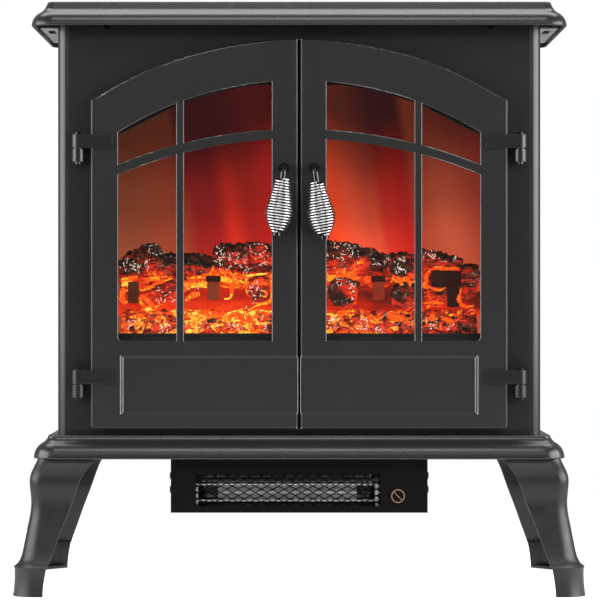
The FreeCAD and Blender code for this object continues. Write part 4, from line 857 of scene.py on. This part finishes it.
def build_coals():
    rng = random.Random(23)
    width = bed_high.x - bed_low.x - 2 * COAL_MARGIN
    parts = []
    for back, up, count, size in COAL_ROWS:
        for i in range(count):
            x = bed_low.x + COAL_MARGIN + width * (i + rng.uniform(0.15, 0.85)) / count
            y = bed_low.y + back + rng.uniform(-0.003, 0.003)
            z = HEARTH_Z + up + rng.uniform(-0.0028, 0.0028)
            parts.append(coal_mesh(Vector((x, y, z)), size * rng.uniform(0.7, 1.2), rng))
    verts, faces = join(parts)
    coals = mesh_object("coals", verts, faces, COAL, "stove", "embers", smooth=False)
    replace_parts(coals, "ember_bed")
    return [(verts, faces)]


def streak(path, radius, rng, sides):
    """Tapered uneven strand along a path."""
    verts = []
    for i, (point, (_, u, v)) in enumerate(zip(path, frames_along(path))):
        taper = 0.35 + 0.65 * math.sin(math.pi * (i + 0.6) / (len(path) + 0.2))
        verts += ring_points(point, u, v, radius * taper * rng.uniform(0.8, 1.2), sides)
    return verts, sleeve_faces(len(path), sides)


RAY_FROM = -130              # in front of the bed, in millimetres
RAY_REACH = 0.13


class Skin:
    """Front surface of the fire bed, as seen by a level ray from the doors."""

    def __init__(self, parts):
        self.tree = BVHTree.FromPolygons(*join(parts))

    def at(self, x, z, lift=0.0):
        """Surface point at a place in millimetres, brought forward by lift."""
        start = hearth_point((x, RAY_FROM, z))
        hit = self.tree.ray_cast(start, Vector((0, 1, 0)), RAY_REACH)[0]
        return hit + Vector((0, -lift, 0)) if hit else None

    def run(self, places, lift, step=0.0012):
        """Surface points along a line of (x, z) places, drawn forward over narrow gaps."""
        line = smooth_path([(x, 0, z) for x, z in places], 10 * (len(places) - 1))
        points = []
        for spot in line:
            here = self.at(spot.x, spot.z, lift)
            if here and (not points or (here - points[-1]).length > step):
                points.append(here)
        for _ in range(3):
            for i in range(1, len(points) - 1):
                points[i].y = min(points[i].y, (points[i - 1].y + points[i + 1].y) / 2)
        return points


# glowing cracks: (half width in millimetres, heat, places as (x, z) with the hearth at 256)
VEINS = [
    (1.5, "yellow", [(-32, 317.8), (-52.5, 315.2), (-63.8, 312.2), (-68.9, 306.5),
                     (-68.4, 298.3), (-70, 292.7), (-76, 291.7)]),
    (1.4, "orange", [(-114, 312.7), (-95.5, 314.7), (-89.4, 318.3), (-87.3, 325)]),
    (1.9, "orange", [(-115, 290.1), (-107.8, 295.3), (-100.6, 296.8)]),
    (1.2, "orange", [(-30, 315.7), (-28, 307.6), (-29, 290.1), (-43.3, 285), (-50, 280.9)]),
    (1.0, "orange", [(-38.1, 300.4), (-33, 298.3), (-34, 294.2), (-39, 295.3)]),
    (1.3, "orange", [(-181, 311.7), (-171.3, 313.2), (-164.2, 314.7)]),
    (2.0, "orange", [(-179.5, 302.4), (-179, 290.1), (-173.4, 288.1)]),
    (1.5, "orange", [(-160, 295.3), (-151.9, 289.1), (-144.7, 279.9)]),
    (1.4, "orange", [(-160, 300.4), (-144.7, 306.5), (-128.3, 312.7)]),
    (1.5, "orange", [(31.5, 314.7), (41.8, 315.2), (53.1, 312.7), (62, 313.5)]),
    (2.6, "yellow", [(66.5, 312.8), (70, 312.0), (72.6, 310.6)]),
    (1.7, "yellow", [(103, 311.6), (103.6, 305.8)]),
    (1.3, "orange", [(111.5, 311), (112, 304.6)]),
    (1.3, "coral", [(133, 321.8), (129.9, 314.7), (130.9, 309.6), (127.9, 306.0),
                    (134, 302.4), (142.2, 300.4), (147, 303)]),
    (1.4, "coral", [(163.7, 302.4), (160.6, 294.2), (161.7, 288.1), (168.8, 284), (177, 285)]),
    (1.2, "coral", [(126.8, 287.6), (137, 288.5), (146.3, 287.1)]),
    (1.2, "coral", [(133, 322), (140, 323.6), (150, 322.5), (161, 323.2)]),
    (1.7, "yellow", [(-170, 273.2), (-162, 273.9), (-155, 272.2)]),
    (1.9, "yellow", [(-145, 270.2), (-139, 273.2), (-135.5, 271.6)]),
    (2.0, "yellow", [(-104, 277.4), (-92, 277.0), (-82, 275.4), (-74, 277.0)]),
    (1.7, "yellow", [(-71, 268.4), (-69, 274.6), (-61, 275.4), (-57, 269.8), (-63, 265.4)]),
    (2.0, "yellow", [(-53, 278.2), (-50, 271.2), (-48, 266.0)]),
    (2.2, "yellow", [(36, 274.4), (44, 276.6), (52, 275.2)]),
    (2.4, "yellow", [(69, 273.4), (74, 272.0), (77, 273.6)]),
    (3.0, "yellow", [(89.5, 277.6), (94, 272.2), (101, 270.4), (104, 273.4)]),
    (1.9, "yellow", [(131, 272.4), (136, 270.8), (139, 271.8)]),
    (1.9, "yellow", [(146, 271.4), (151, 269.6), (155, 268.6)]),
]

# patches of pale squiggles, painted highlights: (count, lowest x, highest x, lowest z, highest z),
# measured likewise
GLINT_PATCHES = [
    (34, -182, -152, 319, 335), (14, -146, -126, 287, 303), (34, -85, -53, 322, 339),
    (16, -44, -28, 325, 337), (12, -114, -100, 297, 306), (24, -53, -38, 284, 308),
    (14, -84, -77, 333, 346), (30, 28, 62, 334, 348), (10, 28, 48, 318, 336),
    (10, 74, 92, 328, 334), (22, 96, 108, 317, 338), (20, 126, 140, 333, 344),
    (10, 140, 164, 328, 336), (12, -178, -164, 260, 272), (14, -150, -128, 258, 268),
    (14, -100, -56, 258, 270), (16, 28, 40, 260, 274), (16, 58, 68, 260, 274),
    (8, 76, 84, 259, 265), (10, 128, 136, 262, 274), (6, 148, 156, 262, 268),
    (16, 50, 58, 290, 312), (10, 32, 56, 306, 314), (12, -72, -30, 259, 272),
    (8, -60, -50, 318, 324),
]

# rings of pale dashes round sawn ends, painted highlights: (x, z, half width, half height, dashes)
GLINT_RINGS = [(-144.7, 342.3, 8.6, 5.4, 15), (-41.9, 342.4, 9.0, 5.6, 13)]


def glow_line(name, heat):
    """Glow of one heat that wavers a little."""
    s = Shader(name)
    heat = s.math("ADD", heat, s.swing(s.noise(240.0, 2.0), 0.34), clamp=True)
    return s.set(color=(0.02, 0.004, 0.002), glow=fire_colors(s, heat), glow_strength=1.0, rough=0.6,
                 specular=0.03)


# glowing pale threads: painted highlights on the bark
def pale_glint():
    s = Shader("pale_glint")
    tone = s.mix(s.noise(500.0, 1.0), (1.0, 0.70, 0.50), (1.0, 0.95, 0.88))
    return s.set(color=(0.5, 0.45, 0.4), glow=tone, glow_strength=0.85, rough=0.8, specular=0.05)


VEIN_LIFT = 0.0002           # of a vein's middle over the surface
HALO_BACK = 0.0008           # how far its halo lies behind it
HALO_WIDEN = 1.75
GLINT_LIFT, RING_LIFT = 0.00015, 0.0003
GLINT_STEP = 0.6               # between the points of a squiggle, in millimetres
GLINT_BREAK = 0.0024           # a squiggle ends where the surface drops by more


def build_veins(skin):
    """Glowing cracks by color, each with a dimmer halo a little behind it."""
    rng = random.Random(5)
    heats = {"yellow": glow_line("yellow_vein", 0.99), "orange": glow_line("orange_vein", 0.86),
             "coral": glow_line("coral_vein", 0.74)}
    halo = glow_line("vein_halo", 0.72)
    groups = {kind: [] for kind in heats}
    halos = []
    for half, kind, places in VEINS:
        points = skin.run(places, VEIN_LIFT)
        if len(points) > 2:
            groups[kind].append(streak(points, half / 1000, rng, 8))
            behind = [p + Vector((0, HALO_BACK, 0)) for p in points]
            halos.append(streak(behind, half * HALO_WIDEN / 1000, rng, 8))
    for kind, parts in groups.items():
        vein = mesh_object(f"{kind}_veins", *join(parts), heats[kind], "stove", "embers")
        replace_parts(vein, "ember_bed")
    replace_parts(mesh_object("vein_halos", *join(halos), halo, "stove", "embers"), "ember_bed")


def build_glint(skin):
    """Painted highlights: pale glowing squiggles on the cold bark, and rings of dashes on sawn ends."""
    rng = random.Random(11)
    parts = []
    for count, x0, x1, z0, z1 in GLINT_PATCHES:
        for _ in range(count):
            x, z = rng.uniform(x0, x1), rng.uniform(z0, z1)
            way = rng.uniform(0, math.tau)
            points = []
            for _ in range(rng.randint(3, 8)):
                here = skin.at(x, z, GLINT_LIFT)
                if not here or (points and (here - points[-1]).length > GLINT_BREAK):
                    break
                points.append(here)
                way += rng.uniform(-0.9, 0.9)
                x += GLINT_STEP * math.cos(way)
                z += GLINT_STEP * math.sin(way)
            if len(points) > 2:
                parts.append(streak(points, rng.uniform(0.00020, 0.00034), rng, 5))
    for x, z, wide, high, dashes in GLINT_RINGS:
        for k in range(dashes):
            a0 = math.tau * (k + rng.uniform(-0.25, 0.25)) / dashes
            reach = math.tau / dashes * rng.uniform(0.30, 0.70)
            near = rng.uniform(0.84, 1.06)
            turns = [a0 + reach * t for t in (0, 0.33, 0.66, 1.0)]
            spots = [(x + wide * near * math.cos(a), z + high * near * math.sin(a)) for a in turns]
            points = [p for p in (skin.at(px, pz, RING_LIFT) for px, pz in spots) if p]
            if len(points) > 2:
                parts.append(streak(points, rng.uniform(0.00024, 0.00042), rng, 5))
    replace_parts(mesh_object("glint_threads", *join(parts), pale_glint(), "stove", "embers"), "ember_bed")


fire_parts = build_logs() + build_posts() + build_bed() + build_coals()
fire_skin = Skin(fire_parts)
build_veins(fire_skin)
build_glint(fire_skin)


# ------------------------------------------------------------------ small trim
def cuboid(name, low, high, mat, body, slot):
    verts = [(x, y, z) for x in (low[0], high[0]) for y in (low[1], high[1]) for z in (low[2], high[2])]
    faces = [(0, 1, 3, 2), (4, 6, 7, 5), (0, 4, 5, 1), (2, 3, 7, 6), (0, 2, 6, 4), (1, 5, 7, 3)]
    return mesh_object(name, verts, faces, mat, body, slot, smooth=False)


SEAL_GAP = 0.000004          # half the gap left between the two strips
SEAL_FRONT, SEAL_BACK = 0.0062, 0.0012       # from the back face of a door
SEAL_END = 0.0006            # left free at top and bottom


def meeting_seals():
    """Black strip on each door's meeting edge, which closes the gap between them."""
    for side, sign in (("left", -1), ("right", 1)):
        low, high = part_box(f"{side}_door_frame")
        edge = high.x if sign < 0 else low.x
        x0, x1 = sorted((edge, sign * SEAL_GAP))
        near = (x0, high.y - SEAL_FRONT, low.z + SEAL_END)
        far = (x1, high.y - SEAL_BACK, high.z - SEAL_END)
        cuboid(f"{side}_seal", near, far, PAINT["firebox"], f"{side}_door", "black_plastic")


RING_X, RING_UP = 0.0985, 0.0165     # its middle, from the stove's middle and the heater's bottom
RING_RADIUS, RING_LINE = 0.0063, 0.00042
BAR_REACH, BAR_LINE = 0.0043, 0.00036


def heater_ring():
    """Plain printed ring with a bar on the heater's face."""
    low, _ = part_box("heater_housing")
    center = Vector((RING_X, low.y, low.z + RING_UP))
    turns = [math.tau * k / 48 for k in range(49)]
    path = [center + Vector((math.cos(a) * RING_RADIUS, 0, math.sin(a) * RING_RADIUS)) for a in turns]
    ink = worked_metal("ring_ink", (0.34, 0.20, 0.11), 0.45, metal=0.2)
    verts, faces = tube_mesh(path, RING_LINE, 6)
    mesh_object("heater_ring", verts, faces, ink, "stove", "heater_paint")
    slope = Vector((BAR_REACH, 0, -BAR_REACH))
    verts, faces = tube_mesh([center - slope, center + slope], BAR_LINE, 6)
    mesh_object("heater_ring_bar", verts, faces, ink, "stove", "heater_paint")


meeting_seals()
heater_ring()


# ------------------------------------------------------------------ stage, light and camera
FLOOR_RADIUS, FLOOR_SIDES = 0.7, 96
FLOOR_TONE, FLOOR_GLOW = 0.70, 0.63


def stage_floor():
    """Round white floor, twice as wide as the stove, with some light of its own."""
    turns = [math.tau * k / FLOOR_SIDES for k in range(FLOOR_SIDES)]
    verts = [(FLOOR_RADIUS * math.cos(a), FLOOR_RADIUS * math.sin(a), 0) for a in turns]
    mesh = bpy.data.meshes.new("floor")
    mesh.from_pydata(verts, [], [tuple(range(FLOOR_SIDES))])
    floor = bpy.data.objects.new("floor", mesh)
    bpy.context.scene.collection.objects.link(floor)
    s = Shader("pale_floor")
    floor.data.materials.append(s.set(color=(FLOOR_TONE,) * 3, glow=(1, 1, 1),
                                      glow_strength=FLOOR_GLOW, rough=0.9, specular=0.1))


# name: (place, target, width and height, watts)
LIGHTS = {
    "overhead": ((0, 0.30, 2.0), (0, 0.05, 0.5), (2.6, 0.9), 38),
    "key": ((0, -2.0, 2.9), (0, -0.1, 0.5), (1.3, 0.9), 22),
    "front": ((0, -2.55, 1.55), (0, -0.1, 0.2), (2.6, 0.5), 8),
    "left_bank": ((-1.55, -0.62, 0.66), (0, 0, 0.35), (1.7, 1.0), 34),
    "right_bank": ((1.55, -0.62, 0.66), (0, 0, 0.35), (1.7, 1.0), 42),
}


def area_light(name, place, target, size, power):
    data = bpy.data.lights.new(name, "AREA")
    data.shape = "RECTANGLE"
    data.size, data.size_y = size
    data.energy = power
    light = bpy.data.objects.new(name, data)
    bpy.context.scene.collection.objects.link(light)
    light.location = place
    light.rotation_euler = (Vector(target) - Vector(place)).to_track_quat("-Z", "Y").to_euler()


def studio():
    """White background, a dim world that brightens behind the stove, and the lights."""
    world = bpy.data.worlds.new("studio")
    bpy.context.scene.world = world
    world.use_nodes = True
    tree = world.node_tree
    tree.nodes.clear()
    out = tree.nodes.new("ShaderNodeOutputWorld")
    seen, cast = tree.nodes.new("ShaderNodeBackground"), tree.nodes.new("ShaderNodeBackground")
    seen.inputs["Color"].default_value = (1, 1, 1, 1)
    seen.inputs["Strength"].default_value = 1.0
    way, split = tree.nodes.new("ShaderNodeTexCoord"), tree.nodes.new("ShaderNodeSeparateXYZ")
    tree.links.new(way.outputs["Generated"], split.inputs[0])
    backdrop = tree.nodes.new("ShaderNodeMapRange")
    for name, value in (("From Min", 0.05), ("From Max", 0.45), ("To Min", 0.06), ("To Max", 0.30)):
        backdrop.inputs[name].default_value = value
    tree.links.new(split.outputs["Y"], backdrop.inputs["Value"])
    tree.links.new(backdrop.outputs["Result"], cast.inputs["Strength"])
    cast.inputs["Color"].default_value = (1, 1, 1, 1)
    which = tree.nodes.new("ShaderNodeLightPath")
    mixed = tree.nodes.new("ShaderNodeMixShader")
    tree.links.new(which.outputs["Is Camera Ray"], mixed.inputs[0])
    tree.links.new(cast.outputs[0], mixed.inputs[1])
    tree.links.new(seen.outputs[0], mixed.inputs[2])
    tree.links.new(mixed.outputs[0], out.inputs[0])
    for name, values in LIGHTS.items():
        area_light(name, *values)


def camera():
    """Level view from straight in front, at the stove's middle height."""
    data = bpy.data.cameras.new("camera")
    data.lens = 159.0
    data.sensor_width = 36.0
    data.shift_x = 0.8 / 600
    data.shift_y = -5.0 / 600
    data.clip_end = 50
    cam = bpy.data.objects.new("camera", data)
    bpy.context.scene.collection.objects.link(cam)
    cam.location = (0, -2.751, 0.2975)
    cam.rotation_euler = (math.radians(90), 0, 0)
    bpy.context.scene.camera = cam


stage_floor()
studio()
camera()
bpy.context.scene.view_settings.view_transform = "Standard"
